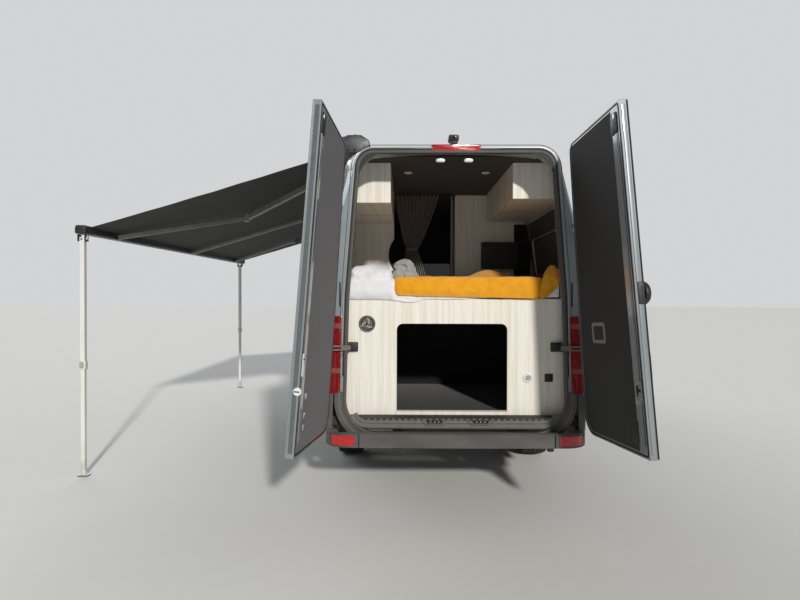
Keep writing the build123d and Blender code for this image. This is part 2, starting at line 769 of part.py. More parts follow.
# Front axle: cross member and lower arms, with the steered knuckles
king_x = 770
with BuildPart() as front_axle:
    add(block(-rail_x + 30, rail_x - 30, front_axle_y - 90, front_axle_y + 90, 300, 380))
    for side in (-1, 1):
        x_inner = side * (rail_x - 40)
        x_outer = side * (king_x - 45)
        arm = plan_prism(
            [(x_inner, front_axle_y - 150), (x_inner, front_axle_y + 110), (x_outer, front_axle_y + 30), (x_outer, front_axle_y - 30)],
            250,
            285,
        )
        add(arm)
        post = block(min(side * 330, side * 400), max(side * 330, side * 400), front_axle_y - 50, front_axle_y + 50, 270, 430)
        add(post)
        with BuildSketch(Plane.XY.offset(250)):
            with Locations((side * (king_x - 30), front_axle_y)):
                Circle(30)
        extrude(amount=35)
pieces["front_axle"] = front_axle.part
for side, name in ((-1, "left"), (1, "right")):
    with BuildPart() as knuckle:
        with BuildSketch(Plane.YZ.offset(king_x - 40)):
            with Locations((front_axle_y, tyre_radius)):
                Circle(65)
        extrude(amount=hub_face - king_x + 40)
        with BuildSketch(Plane.XY.offset(285 + fit)):
            with Locations((king_x - 30, front_axle_y)):
                Circle(26)
        extrude(amount=250)
        add(block(king_x - 45, king_x - 15, front_axle_y - 150, front_axle_y, 330, 370))
    pieces[f"knuckle_{name}"] = knuckle.part if side > 0 else mirrored(knuckle.part)

# Engine, tank and exhaust under the floor
pieces["engine_block"] = joined(
    block(-290, 290, 5760, 6480, 440, 1020),
    block(-365, 365, 5900, 6100, 440, 470),
)
pieces["fuel_tank"] = joined(
    plan_prism([(480, 3300), (820, 3300), (820, 4350), (480, 4350)], 360, 592, 40),
    block(435, 500, 3400, 3450, 500, 600),
    block(435, 500, 4200, 4250, 500, 600),
)
with BuildPart() as exhaust:
    with BuildLine() as exhaust_path:
        FilletPolyline(
            (-180, 5759, 470), (-180, 5600, 470), (-180, 5300, 390), (-225, 3900, 390), (-225, 2350, 390), (-640, 2150, 390), (-800, 2150, 330),
            radius=60,
        )
    with BuildSketch(Plane(origin=exhaust_path.line @ 0, z_dir=exhaust_path.line % 0)):
        Circle(32)
    sweep()
    with BuildSketch(Plane.XZ.offset(-2700)):
        with Locations((-225, 395)):
            SlotOverall(260, 120)
    extrude(amount=-900)
    add(block(-237, -213, 2900, 2940, 440, 600))
    add(block(-237, -213, 3200, 3240, 440, 600))
pieces["exhaust"] = exhaust.part

# Bed: front board with the boot opening, deck, side boards and the bulkhead behind the boot
deck = common(block(-board_half, board_half, board_y, mattress_back + 20, bed_top - 20, bed_top), cabin)
with BuildPart() as boot_hole:
    with BuildSketch(Plane.XZ.offset(-board_y + 20)) as boot_face:
        with BuildLine():
            Polyline((boot_left, boot_low), (boot_right, boot_low), (boot_right, boot_top), (boot_left, boot_top), close=True)
        make_face()
        fillet(boot_face.vertices().sort_by(Axis.Y)[-2:], boot_corner)
    extrude(amount=-80)
front_board = common(
    cut(
        block(-board_half, board_half, board_y, board_y + board_thick, floor_top, bed_top - 20),
        boot_hole.part,
    ),
    cabin,
)
back_board = cut(
    common(block(-board_half, board_half, mattress_back, mattress_back + board_thick, floor_top, bed_top - 20), cabin),
    joined(
        wheel_arch(rear_axle_y, arch_radius + well_skin + 1, well_inner_x - well_skin - 1, 1100),
        wheel_arch(rear_axle_y, arch_radius + well_skin + 1, -1100, -well_inner_x + well_skin + 1),
    ),
)
pieces["bed_box"] = joined(deck, front_board, back_board)

# Mattress, bedding and throw, as plain soft solids
bed_space = common(hull(wall + 8, 300), block(-1100, 1100, 60, 6000, floor_top, 3000))
with BuildPart() as mattress:
    add(block(-745, 745, mattress_front, mattress_back, bed_top + fit, mattress_top))
    add(block(-760, -440, mattress_front - 12, 900, bed_top + fit, 1720))
    add(bed_space, mode=Mode.INTERSECT)
pieces["mattress"] = mattress.part
throw_profile = [
    (92, 1500), (mattress_front - 14, 1500), (mattress_front - 14, mattress_top + fit), (950, mattress_top + fit),
    (950, mattress_top + 26), (105, mattress_top + 26), (92, 1660),
]
pieces["throw"] = joined(
    side_prism(throw_profile, -430, 640),
    side_prism([(105, mattress_top + 26), (420, mattress_top + 26), (420, 1730), (140, 1730)], 560, 700),
)

# Cupboards: one overhead each side, the wardrobe on the right and the shaped panel on the left
room = common(hull(wall + fit, 300), block(-1100, 1100, 60, 6000, floor_top, ceiling_z))
left_overhead = common(block(-1000, -460, 300, 1495, 2205, 2700), room)
right_overhead = common(
    side_prism([(300, 2235), (1600, 2235), (1600, 2700), (300, 2700)], 450, 1000),
    room,
)
pieces["overhead_cabinets"] = joined(left_overhead, right_overhead)
wardrobe = common(block(143, 1000, 1650, 2250, floor_top, 2700), room)
with BuildPart() as shaped_panel:
    with BuildSketch(Plane.XZ.offset(-1500)):
        with BuildLine():
            Polyline((-1000, floor_top), (-457, floor_top), (-457, 1750))
            ThreePointArc((-457, 1750), (-510, 1900), (-457, 2050))
            Polyline((-457, 2050), (-457, 2700), (-1000, 2700), (-1000, floor_top))
        make_face()
    extrude(amount=-18)
    add(room, mode=Mode.INTERSECT)
kitchen = common(block(-1000, -450, 1700, 3000, floor_top, 1550), room)
well_space = joined(
    wheel_arch(rear_axle_y, arch_radius + well_skin + 1, well_inner_x - well_skin - 1, 1100),
    wheel_arch(rear_axle_y, arch_radius + well_skin + 1, -1100, -well_inner_x + well_skin + 1),
)
pieces["tall_cabinets"] = cut(joined(wardrobe, shaped_panel.part, kitchen), well_space)
ceiling = common(hull(wall + fit, 300), block(-1000, 1000, 110, 4700, ceiling_z, ceiling_z + 12))
pieces["ceiling_lining"] = ceiling
pieces["television"] = joined(block(395, 745, 1560, 1600, 1770, 2030), block(540, 600, 1600, 1650 - fit, 1850, 1950))
with BuildPart() as curtain:
    with BuildSketch(Plane.XY.offset(1520)) as curtain_plan:
        with Locations((-250, 1580)):
            SlotOverall(400, 50)
    with BuildSketch(Plane.XY.offset(2000)):
        with Locations((-320, 1580)):
            SlotOverall(160, 50)
    with BuildSketch(Plane.XY.offset(2430)):
        with Locations((-250, 1580)):
            SlotOverall(430, 50)
    loft(ruled=True)
    add(block(-470, 140, 1572, 1588, 2430, 2446))
    add(block(-440, -428, 1575, 1585, 2440, ceiling_z))
    add(block(120, 132, 1575, 1585, 2440, ceiling_z))
pieces["curtain"] = curtain.part

# Cab fittings
dash_profile = [(5350, 900), (5700 - fit, 760), (5700 - fit, 1220 + fit), (5900, 1220 + fit), (6020, 1300), (5650, 1400), (5330, 1250), (5300, 1050)]
cab_room = hull(wall + 10, 300)
pieces["dashboard"] = cut(common(side_prism(dash_profile, -1000, 1000), cab_room), front_arches)
wheel_centre = (430, 5130, 1180)
with BuildPart() as steering_wheel:
    with Locations(Location(wheel_centre, (40, 0, 0))):
        Torus(190, 15)
        Cylinder(55, 40)
        with PolarLocations(0, 3, 90):
            Box(190, 30, 14, align=(Align.MIN, Align.CENTER, Align.CENTER))
        Cylinder(30, 340, align=(Align.CENTER, Align.CENTER, Align.MAX))
pieces["steering_wheel"] = cut(steering_wheel.part, side_prism(dash_profile, -1000, 1000, 0, fit))
seats = []
for x in (-430, 430):
    seats += [
        block(x - 200, x + 200, 4600, 5020, floor_top + fit, 900),
        side_prism([(4590, 900), (5100, 900), (5110, 1010), (4700, 990), (4590, 985)], x - 250, x + 250),
        side_prism([(4590, 985), (4700, 990), (4590, 1600), (4500, 1600)], x - 240, x + 240),
        side_prism([(4500, 1620), (4590, 1620), (4580, 1790), (4510, 1790)], x - 130, x + 130),
        block(x - 60, x + 60, 4530, 4545, 1590, 1630),
    ]
pieces["cab_seats"] = joined(*seats)

# Awning: case on the roof edge, sagging sheet, folding arms, lead rail and two legs
case = rear_prism(
    [(-case_outer, case_low + 30), (-case_outer + 30, case_low), (-case_inner, case_low), (-case_inner, case_high - 40), (-case_inner - 60, case_high), (-case_outer + 70, case_high), (-case_outer, case_high - 60)],
    case_rear,
    case_front,
)
brackets = [block(-case_outer + 40, -case_inner - 20, y, y + 80, 2380, case_low + 10) for y in (1000, 2900, 4200)]
pieces["awning_case"] = cut(joined(case, *brackets), hull(0))
sag_x = (lead_x - case_outer) / 2
sag_z = (lead_z + 2700) / 2 - 12
with BuildPart() as awning_fabric:
    with BuildSketch(Plane.XZ.offset(-lead_rear - 50)):
        with BuildLine():
            ThreePointArc((-case_outer - fit, 2700), (sag_x, sag_z), (lead_x + 44 + fit, lead_z + 20))
            Line((lead_x + 44 + fit, lead_z + 20), (lead_x + 44 + fit, lead_z + 16))
            ThreePointArc((lead_x + 44 + fit, lead_z + 16), (sag_x, sag_z - 4), (-case_outer - fit, 2696))
            Line((-case_outer - fit, 2696), (-case_outer - fit, 2700))
        make_face()
    extrude(amount=-(lead_front - lead_rear - 100))
pieces["awning_fabric"] = awning_fabric.part
with BuildPart() as lead_rail:
    with BuildSketch(Plane.XZ.offset(-lead_rear)) as lead_section:
        with Locations((lead_x, lead_z)):
            RectangleRounded(88, 72, 14)
    extrude(amount=lead_rear - lead_front)


def strut(start, end, width, height):
    """A straight bar between two points."""
    start = Vector(*start)
    run = Vector(*end) - start
    with BuildPart() as bar:
        with BuildSketch(Plane(origin=start, x_dir=run.cross(Vector(0, 0, 1)), z_dir=run)):
            RectangleRounded(width, height, 6)
        extrude(amount=run.length)
    return bar.part


middle_y = (lead_rear + lead_front) / 2
arms = []
for side in (-1, 1):
    shoulder = (-case_outer + 15, middle_y + side * 1870, 2655)
    elbow = (-1950, middle_y + side * 1190, 2290)
    hand = (lead_x + 44, middle_y + side * 1740, lead_z - 15)
    arms += [strut(shoulder, elbow, 34, 56), strut(elbow, hand, 26, 44)]
    with BuildPart() as elbow_joint:
        with BuildSketch(Plane.XY.offset(elbow[2] - 36)):
            with Locations(elbow[:2]):
                Circle(30)
        extrude(amount=72)
    arms.append(elbow_joint.part)
rafter = strut((-case_outer + 20, middle_y, 2655), (lead_x + 44, middle_y, lead_z - 32), 30, 40)
arm_keep = cut(joined(*arms, rafter), case, lead_rail.part)
pieces["awning_arms"] = arm_keep

# Awning legs: each hangs from two ears under the rail's end, and its lower tube slides in the upper
leg_pin_z = lead_z - 75
leg_top = leg_pin_z + 18
leg_mid = 900
ears = []
for name, y in (("rear", leg_rear_y), ("front", leg_front_y)):
    for side in (-1, 1):
        ear_x = leg_x + side * 30
        pin_end = leg_x + side * (leg_size / 2 + fit)
        ears.append(block(ear_x - 5, ear_x + 5, y - 22, y + 22, leg_pin_z - 18, lead_z - 36))
        with BuildPart() as pin:
            with BuildSketch(Plane.YZ.offset(min(pin_end, ear_x))):
                with Locations((y, leg_pin_z)):
                    Circle(7)
            extrude(amount=abs(ear_x - pin_end))
        ears.append(pin.part)
    with BuildPart() as leg:
        with BuildSketch(Plane.XY.offset(leg_mid)):
            with Locations((leg_x, y)):
                RectangleRounded(leg_size, leg_size, 5)
                RectangleRounded(leg_size - 5, leg_size - 5, 3, mode=Mode.SUBTRACT)
        extrude(amount=leg_top - leg_mid)
    pieces[f"awning_leg_{name}"] = leg.part
    with BuildPart() as foot:
        with BuildSketch(Plane.XY.offset(foot_gap)):
            with Locations((leg_x, y)):
                RectangleRounded(leg_size - 6, leg_size - 6, 3)
                RectangleRounded(leg_size - 10, leg_size - 10, 2, mode=Mode.SUBTRACT)
        extrude(amount=1250)
        with BuildSketch(Plane.XY.offset(foot_gap)):
            with Locations((leg_x, y)):
                RectangleRounded(90, 60, 15)
        extrude(amount=9)
    pieces[f"awning_foot_{name}"] = foot.part
pieces["awning_lead_rail"] = joined(lead_rail.part, *ears)

# One step for every piece, to the ground point under the middle of the whole object
boxes = [solid.bounding_box() for solid in pieces.values()]
low_x, high_x = min(box.min.X for box in boxes), max(box.max.X for box in boxes)
low_y, high_y = min(box.min.Y for box in boxes), max(box.max.Y for box in boxes)
low_z = min(box.min.Z for box in boxes)
step = Location((-(low_x + high_x) / 2, -(low_y + high_y) / 2, -low_z))
os.makedirs("parts", exist_ok=True)
for name, solid in pieces.items():
    placed = solid.moved(step)
    placed.label = name
    export_step(placed, f"parts/{name}.step")
print("step", step.position, "size", high_x - low_x, high_y - low_y)
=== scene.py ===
import json
import math

import bmesh
import bpy
from mathutils import Matrix, Vector, noise
from mathutils.bvhtree import BVHTree


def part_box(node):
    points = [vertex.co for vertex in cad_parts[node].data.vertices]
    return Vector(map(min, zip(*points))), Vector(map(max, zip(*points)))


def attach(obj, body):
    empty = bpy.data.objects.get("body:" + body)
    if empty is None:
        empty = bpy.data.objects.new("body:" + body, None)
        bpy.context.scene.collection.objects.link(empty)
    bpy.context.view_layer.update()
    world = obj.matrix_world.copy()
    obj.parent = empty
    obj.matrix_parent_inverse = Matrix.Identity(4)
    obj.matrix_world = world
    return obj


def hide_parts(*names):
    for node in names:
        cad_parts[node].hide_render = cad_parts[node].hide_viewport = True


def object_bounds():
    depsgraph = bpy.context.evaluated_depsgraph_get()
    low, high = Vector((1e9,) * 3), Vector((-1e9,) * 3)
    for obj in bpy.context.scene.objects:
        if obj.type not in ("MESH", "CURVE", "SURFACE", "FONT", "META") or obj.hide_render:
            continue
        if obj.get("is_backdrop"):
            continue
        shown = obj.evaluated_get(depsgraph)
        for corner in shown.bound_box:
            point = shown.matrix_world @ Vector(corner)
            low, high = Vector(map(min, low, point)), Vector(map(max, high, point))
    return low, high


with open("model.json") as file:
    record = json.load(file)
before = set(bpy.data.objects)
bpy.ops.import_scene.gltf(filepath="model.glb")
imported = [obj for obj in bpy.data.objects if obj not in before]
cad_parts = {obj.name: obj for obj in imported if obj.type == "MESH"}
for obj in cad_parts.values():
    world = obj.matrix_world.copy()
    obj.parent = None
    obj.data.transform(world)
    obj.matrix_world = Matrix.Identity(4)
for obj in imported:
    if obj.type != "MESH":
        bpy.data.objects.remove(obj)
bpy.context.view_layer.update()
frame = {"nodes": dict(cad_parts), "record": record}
nodes = frame["nodes"]

# The van's own centre line and rear face, in the row frame
origin_x = (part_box("windscreen")[0][0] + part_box("windscreen")[1][0]) / 2
origin_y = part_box("bed_box")[0][1] - 0.120


def at(x, y, z):
    """A point given from the van's centre line, its rear face and the ground."""
    return Vector((x + origin_x, y + origin_y, z))


X = Vector((1, 0, 0))
Y = Vector((0, 1, 0))
Z = Vector((0, 0, 1))
sides = {"left": -1, "right": 1}

# Sizes that the pieces share with the solids, in metres from the same centre line and rear face
opening_half = 0.772
opening_middle_half = 0.743
opening_top_half = 0.665
opening_low = 0.560
opening_middle = 1.500
opening_top = 2.5
door_low = 0.590
door_high = 2.535
door_free_edge = 0.012
door_hinge_edge = 0.863
door_hinge_top = 0.741
hinge_lean = math.tan(math.radians(3.62))
hinge_heights = (0.800, 1.400, 1.960)
door_pivot = (0.900, -0.035, 0.600)
door_angles = {"left": -94.5, "right": 94.4}
door_inner = -0.008
door_outer = -0.058
board_face = 0.1205
lead_x = -3.020
lead_z = 2.050
leg_x = -3.035
leg_pivot_z = 1.975
leg_ys = {"rear": 0.758, "front": 5.134}
lead_ends = {"rear": (0.690, 1), "front": (5.210, -1)}
case_ends = {"rear": (0.546, 1), "front": (5.304, -1)}
mirror_middle = 1.150
strip_height = 0.700


# Materials


def linear(red, green, blue):
    """A colour as it looks on a screen, given to a shader."""
    parts = []
    for part in (red, green, blue):
        share = part / 255
        parts.append(share / 12.92 if share <= 0.04045 else ((share + 0.055) / 1.055) ** 2.4)
    return (*parts, 1.0)


finishes = {}


class Finish:
    """A procedural material: one shader with layers of noise for its colour, roughness and relief.

    Pieces that wear it belong to its slot in the record, which has its own name unless another is given.
    """

    def __init__(self, name, colour, roughness, soft_edge=0.0, slot=None, **fixed):
        self.slot = slot or name
        finishes[name] = self
        self.material = bpy.data.materials.new(name)
        self.material.use_nodes = True
        self.tree = self.material.node_tree
        self.shader = self.tree.nodes["Principled BSDF"]
        self.shader.inputs["Base Color"].default_value = linear(*colour)
        self.shader.inputs["Roughness"].default_value = roughness
        for socket, value in fixed.items():
            self.shader.inputs[socket.replace("_", " ")].default_value = value
        self.colour = linear(*colour)
        self.place = self.add("ShaderNodeTexCoord")
        self.normal = None
        if soft_edge:
            bevel = self.add("ShaderNodeBevel", samples=4)
            bevel.inputs["Radius"].default_value = soft_edge
            self.normal = bevel.outputs["Normal"]
            self.tree.links.new(self.normal, self.shader.inputs["Normal"])

    def add(self, kind, **settings):
        node = self.tree.nodes.new(kind)
        for key, value in settings.items():
            setattr(node, key, value)
        return node

    def fill(self, socket, value):
        """Links a socket to another node's output, or sets its value."""
        if isinstance(value, bpy.types.NodeSocket):
            self.tree.links.new(value, socket)
        else:
            socket.default_value = value

    def texture(self, kind, size, stretch):
        """A texture whose features are about that size in metres, longer where it is stretched."""
        mapping = self.add("ShaderNodeMapping")
        self.fill(mapping.inputs["Vector"], self.place.outputs["Object"])
        mapping.inputs["Scale"].default_value = [1 / (size * part) for part in stretch]
        made = self.add(kind)
        self.fill(made.inputs["Vector"], mapping.outputs["Vector"])
        made.inputs["Scale"].default_value = 1.0
        return made

    def noise(self, size, stretch=(1, 1, 1), detail=3.0):
        made = self.texture("ShaderNodeTexNoise", size, stretch)
        made.inputs["Detail"].default_value = detail
        return made.outputs["Fac"]

    def cells(self, size):
        return self.texture("ShaderNodeTexVoronoi", size, (1, 1, 1)).outputs["Distance"]

    def waves(self, axis, pitch):
        """Straight ridges across an axis, one each pitch."""
        made = self.add("ShaderNodeTexWave", bands_direction=axis)
        self.fill(made.inputs["Vector"], self.place.outputs["Object"])
        made.inputs["Scale"].default_value = math.pi / 10 / pitch
        made.inputs["Distortion"].default_value = 0.0
        return made.outputs["Fac"]

    def along(self, output, part):
        """One part, 0 to 2, of the place or of the surface's direction."""
        split = self.add("ShaderNodeSeparateXYZ")
        self.fill(split.inputs[0], self.place.outputs[output])
        return split.outputs[part]

    def step(self, value, low, high, to_low=0.0, to_high=1.0):
        ranged = self.add("ShaderNodeMapRange")
        ends = {"Value": value, "From Min": low, "From Max": high, "To Min": to_low, "To Max": to_high}
        for socket, end in ends.items():
            self.fill(ranged.inputs[socket], end)
        return ranged.outputs["Result"]

    def math(self, operation, first, second):
        worked = self.add("ShaderNodeMath", operation=operation)
        self.fill(worked.inputs[0], first)
        self.fill(worked.inputs[1], second)
        return worked.outputs[0]

    def tint(self, share, colour):
        """Mixes a colour in, by a share that varies over the surface."""
        mix = self.add("ShaderNodeMix", data_type="RGBA")
        self.fill(mix.inputs[0], share)
        self.fill(mix.inputs[6], self.colour)
        self.fill(mix.inputs[7], linear(*colour))
        self.colour = mix.outputs[2]
        self.tree.links.new(self.colour, self.shader.inputs["Base Color"])

    def mottle(self, colour, low, high, share, size, stretch=(1, 1, 1), detail=3.0):
        """Patches of a colour where noise is above low, up to a share of it at high."""
        self.tint(self.step(self.noise(size, stretch, detail), low, high, 0, share), colour)

    def rough(self, value, low, high):
        self.fill(self.shader.inputs["Roughness"], self.step(value, 0.3, 0.7, low, high))

    def wear(self, low, high, size):
        """Roughness that drifts between two values."""
        self.rough(self.noise(size), low, high)

    def relief(self, height, depth):
        bump = self.add("ShaderNodeBump")
        bump.inputs["Distance"].default_value = depth
        self.fill(bump.inputs["Height"], height)
        if self.normal:
            self.tree.links.new(self.normal, bump.inputs["Normal"])
        self.normal = bump.outputs["Normal"]
        self.tree.links.new(self.normal, self.shader.inputs["Normal"])

    def grain(self, depth, size, detail=3.0):
        """Fine relief from noise."""
        self.relief(self.noise(size, detail=detail), depth)

    def weave(self, pitch, depth):
        """Threads that cross, on upright and on level cloth."""
        across = self.math("MULTIPLY", self.waves("X", pitch), self.waves("Z", pitch))
        level = self.math("MULTIPLY", self.waves("X", pitch), self.waves("Y", pitch))
        self.relief(self.math("ADD", across, level), depth)

    def dust(self, colour, low, high, share):
        """Road dust that thickens towards the ground."""
        fall = self.step(self.along("Object", 2), high, low)
        patches = self.step(self.noise(0.16, detail=5.0), 0.35, 0.7)
        self.tint(self.math("MULTIPLY", self.math("MULTIPLY", fall, patches), share), colour)


paint = Finish("body_paint", (138, 145, 150), 0.36, 0.004, Coat_Weight=0.7, Coat_Roughness=0.06, Metallic=0.15)
paint.mottle((172, 179, 184), 0.5, 0.75, 0.25, 0.0012)
paint.mottle((118, 125, 132), 0.35, 0.7, 0.16, 0.5)
paint.dust((122, 117, 106), 0.42, 1.15, 0.5)
paint.wear(0.3, 0.42, 0.25)
paint.grain(0.00003, 0.006)

chassis = Finish("chassis_black", (40, 40, 40), 0.75, 0.003)
chassis.mottle((84, 62, 46), 0.55, 0.75, 0.6, 0.05, detail=6)
chassis.mottle((88, 82, 74), 0.4, 0.7, 0.4, 0.3)
chassis.grain(0.001, 0.01)

bumper = Finish("bumper_plastic", (74, 74, 71), 0.55, 0.004)
bumper.mottle((110, 108, 102), 0.4, 0.75, 0.45, 0.12, (3, 1, 1), 6)
bumper.mottle((58, 58, 56), 0.6, 0.8, 0.3, 0.004)
bumper.tint(bumper.math("MULTIPLY", bumper.step(bumper.along("Normal", 2), 0.6, 0.95), 0.35), (134, 131, 124))
bumper.wear(0.45, 0.7, 0.05)
bumper.grain(0.0003, 0.0016)

dark_plastic = Finish("dark_plastic", (34, 34, 35), 0.5, 0.002, slot="bumper_plastic")
dark_plastic.mottle((70, 69, 66), 0.5, 0.8, 0.35, 0.03, detail=5)
dark_plastic.wear(0.38, 0.62, 0.02)
dark_plastic.grain(0.0002, 0.0015)

glass = Finish("cab_glass", (40, 48, 48), 0.04, Alpha=0.8, Specular_IOR_Level=0.8, slot="glass")
glass.mottle((120, 122, 118), 0.5, 0.75, 0.2, 0.2, detail=5)
glass.grain(0.0004, 0.8)
dark_glass = Finish("dark_glass", (17, 19, 21), 0.05, Alpha=0.93, Specular_IOR_Level=0.8, slot="glass")
dark_glass.mottle((58, 60, 60), 0.5, 0.8, 0.2, 0.25, detail=5)
dark_glass.grain(0.0005, 0.9)

lamp_clear = Finish("lamp_clear", (214, 219, 222), 0.05, Alpha=0.3, Coat_Weight=1.0)
lamp_clear.relief(lamp_clear.waves("Z", 0.012), 0.0006)
lamp_clear.mottle((180, 180, 172), 0.5, 0.8, 0.3, 0.05, detail=5)
lamp_red = Finish("lamp_red", (168, 8, 12), 0.15, Coat_Weight=0.6, Coat_Roughness=0.05)
height = lamp_red.along("Object", 2)
for low, high in ((0.975, 1.008), (1.285, 1.320)):
    above, below = lamp_red.step(height, low - 0.002, low), lamp_red.step(height, high, high - 0.002)
    band = lamp_red.math("MULTIPLY", above, below)
    lamp_red.tint(band, (176, 150, 148))
lamp_red.tint(lamp_red.step(lamp_red.cells(0.012), 0.25, 0.6, 0, 0.55), (218, 26, 26))
# Painted shade: between 0.75 and 1.55 m the red lens is darkened, so the tail lamps on the body's corners look
# shaded while the lamps low in the bumper stay bright.
above, below = lamp_red.step(height, 0.70, 0.75, 0, 0.62), lamp_red.step(height, 1.60, 1.55)
painted_lamp_shade = lamp_red.math("MULTIPLY", above, below)
lamp_red.tint(painted_lamp_shade, (58, 14, 15))
lamp_red.relief(lamp_red.waves("Z", 0.009), 0.0008)
lamp_red.relief(lamp_red.cells(0.012), 0.0005)

# One carpet for the door linings, in two copies: carpet_sunlit is a lighter copy with painted sunlight, and
# carpet_lining, the slot's own finish, a near-black copy with painted shade.
carpets = []
for name, base, light, dark in (
    ("carpet_sunlit", (82, 83, 88), (102, 103, 108), (62, 62, 67)),
    ("carpet_lining", (19, 20, 24), (29, 30, 35), (13, 13, 16)),
):
    carpet = Finish(name, base, 0.95, Sheen_Weight=0.1, Sheen_Roughness=0.6)
    carpet.mottle(light, 0.45, 0.7, 0.5, 0.003, detail=6)
    carpet.mottle(dark, 0.5, 0.75, 0.6, 0.006, detail=5)
    carpet.grain(0.0016, 0.0025, detail=6)
    carpets.append(carpet)
sunlit_carpet_copy = carpets[0]
# Near-black carpet. On the ceiling and on the boot's back wall its darkness is painted shade; it also covers the
# boot's floor, the bed room's walls and the return beside the screen.
dark_carpet = Finish("dark_carpet", (30, 28, 28), 0.95, Sheen_Weight=0.1, slot="carpet_lining")
dark_carpet.mottle((44, 42, 41), 0.45, 0.7, 0.5, 0.004, detail=6)
dark_carpet.grain(0.0016, 0.0025, detail=6)

rubber = Finish("rubber_seal", (22, 22, 23), 0.6, slot="rubber_tyre")
rubber.mottle((62, 61, 58), 0.5, 0.8, 0.4, 0.02, detail=5)
rubber.grain(0.0003, 0.003)
tyre_rubber = Finish("tyre_rubber", (34, 34, 35), 0.82, slot="rubber_tyre")
tyre_rubber.mottle((76, 72, 66), 0.4, 0.75, 0.6, 0.05, detail=6)
tyre_rubber.grain(0.0003, 0.002)

wheel_steel = Finish("wheel_steel", (150, 153, 156), 0.38, 0.002, Metallic=0.65)
wheel_steel.mottle((92, 84, 74), 0.45, 0.8, 0.6, 0.03, detail=6)
wheel_steel.wear(0.3, 0.55, 0.04)
wheel_steel.grain(0.0002, 0.004)
bright_metal = Finish("bright_metal", (190, 190, 186), 0.3, 0.001, Metallic=0.8, slot="wheel_steel")
bright_metal.mottle((120, 116, 108), 0.45, 0.75, 0.4, 0.01, detail=5)
bright_metal.wear(0.22, 0.45, 0.01)
bright_metal.grain(0.0002, 0.003)

cab_plastic = Finish("cab_plastic", (52, 53, 55), 0.6, 0.006)
cab_plastic.mottle((78, 79, 80), 0.5, 0.8, 0.3, 0.004)
cab_plastic.grain(0.0005, 0.002)
seat_cloth = Finish("seat_cloth", (66, 68, 74), 0.9, 0.03, Sheen_Weight=0.3)
seat_cloth.mottle((98, 100, 106), 0.45, 0.7, 0.5, 0.006, (1, 4, 4))
seat_cloth.weave(0.003, 0.0006)
iron = Finish("engine_iron", (84, 80, 76), 0.7, 0.004, Metallic=0.4)
iron.mottle((92, 60, 42), 0.5, 0.75, 0.7, 0.04, detail=6)
iron.grain(0.001, 0.01)
tank = Finish("tank_plastic", (30, 30, 31), 0.7, 0.01)
tank.mottle((78, 72, 64), 0.45, 0.75, 0.5, 0.1, detail=5)
tank.grain(0.0005, 0.004)
exhaust_steel = Finish("exhaust_steel", (128, 120, 110), 0.5, 0.002, Metallic=0.7)
exhaust_steel.mottle((104, 70, 48), 0.4, 0.7, 0.7, 0.05, detail=6)
exhaust_steel.grain(0.0006, 0.006)


def board_finish(name, colour, streak, line):
    """Pale laminated board: its grain runs upright on walls and forward on level faces."""
    made = Finish(name, colour, 0.5, 0.0015)
    level = made.step(made.math("ABSOLUTE", made.along("Normal", 2), 0), 0.6, 0.7)
    grains = []
    for size, detail in ((0.022, 4), (0.006, 3)):
        mix = made.add("ShaderNodeMix", data_type="FLOAT")
        made.fill(mix.inputs[0], level)
        made.fill(mix.inputs[2], made.noise(size, (1, 1, 60), detail))
        made.fill(mix.inputs[3], made.noise(size, (1, 60, 1), detail))
        grains.append(mix.outputs[0])
    made.tint(made.step(grains[0], 0.42, 0.62, 0, 0.85), streak)
    made.tint(made.step(grains[1], 0.52, 0.72, 0, 0.7), line)
    made.rough(grains[0], 0.42, 0.6)
    made.relief(grains[1], 0.0002)
    return made


board = board_finish("board", (243, 239, 230), (230, 224, 211), (214, 206, 192))
bedding = Finish("bedding_cloth", (240, 240, 243), 0.85, Sheen_Weight=0.25)
bedding.mottle((222, 223, 230), 0.5, 0.75, 0.5, 0.03, detail=5)
bedding.weave(0.0022, 0.0003)
bedding.grain(0.003, 0.02, detail=4)
throw_cloth = Finish("throw_cloth", (240, 166, 22), 0.95, Sheen_Weight=0.3, Sheen_Roughness=0.5)
throw_cloth.mottle((222, 140, 8), 0.42, 0.72, 0.6, 0.05, detail=5)
throw_cloth.mottle((252, 196, 66), 0.55, 0.75, 0.5, 0.004, detail=5)
throw_cloth.grain(0.002, 0.0035, detail=6)
curtain_cloth = Finish("curtain_cloth", (116, 108, 99), 0.9, Sheen_Weight=0.3)
curtain_cloth.mottle((84, 78, 72), 0.45, 0.7, 0.5, 0.01, (1, 1, 14))
curtain_cloth.weave(0.002, 0.0004)
grey_cloth = Finish("grey_cloth", (176, 174, 172), 0.9, Sheen_Weight=0.3, slot="bedding_cloth")
grey_cloth.mottle((150, 147, 146), 0.45, 0.7, 0.5, 0.02, detail=5)
grey_cloth.weave(0.003, 0.0005)

anthracite = Finish("awning_anthracite", (60, 64, 67), 0.45, 0.003, Metallic=0.35, slot="awning_aluminium")
anthracite.mottle((76, 80, 83), 0.45, 0.7, 0.4, 0.08, (1, 14, 1), 4)
anthracite.wear(0.36, 0.55, 0.05)
anthracite.grain(0.0001, 0.002)
arm_metal = Finish("arm_metal", (150, 151, 143), 0.4, 0.002, Metallic=0.5, slot="awning_aluminium")
arm_metal.mottle((96, 96, 92), 0.45, 0.7, 0.4, 0.05, detail=5)
arm_metal.grain(0.0001, 0.003)
leg_white = Finish("leg_white", (226, 226, 222), 0.4, 0.003, Coat_Weight=0.3, slot="awning_aluminium")
leg_white.mottle((198, 197, 190), 0.5, 0.75, 0.4, 0.03, (1, 1, 8), 5)
leg_white.dust((150, 142, 124), 0.0, 0.35, 0.7)
leg_white.wear(0.32, 0.5, 0.03)
leg_white.grain(0.0001, 0.003)
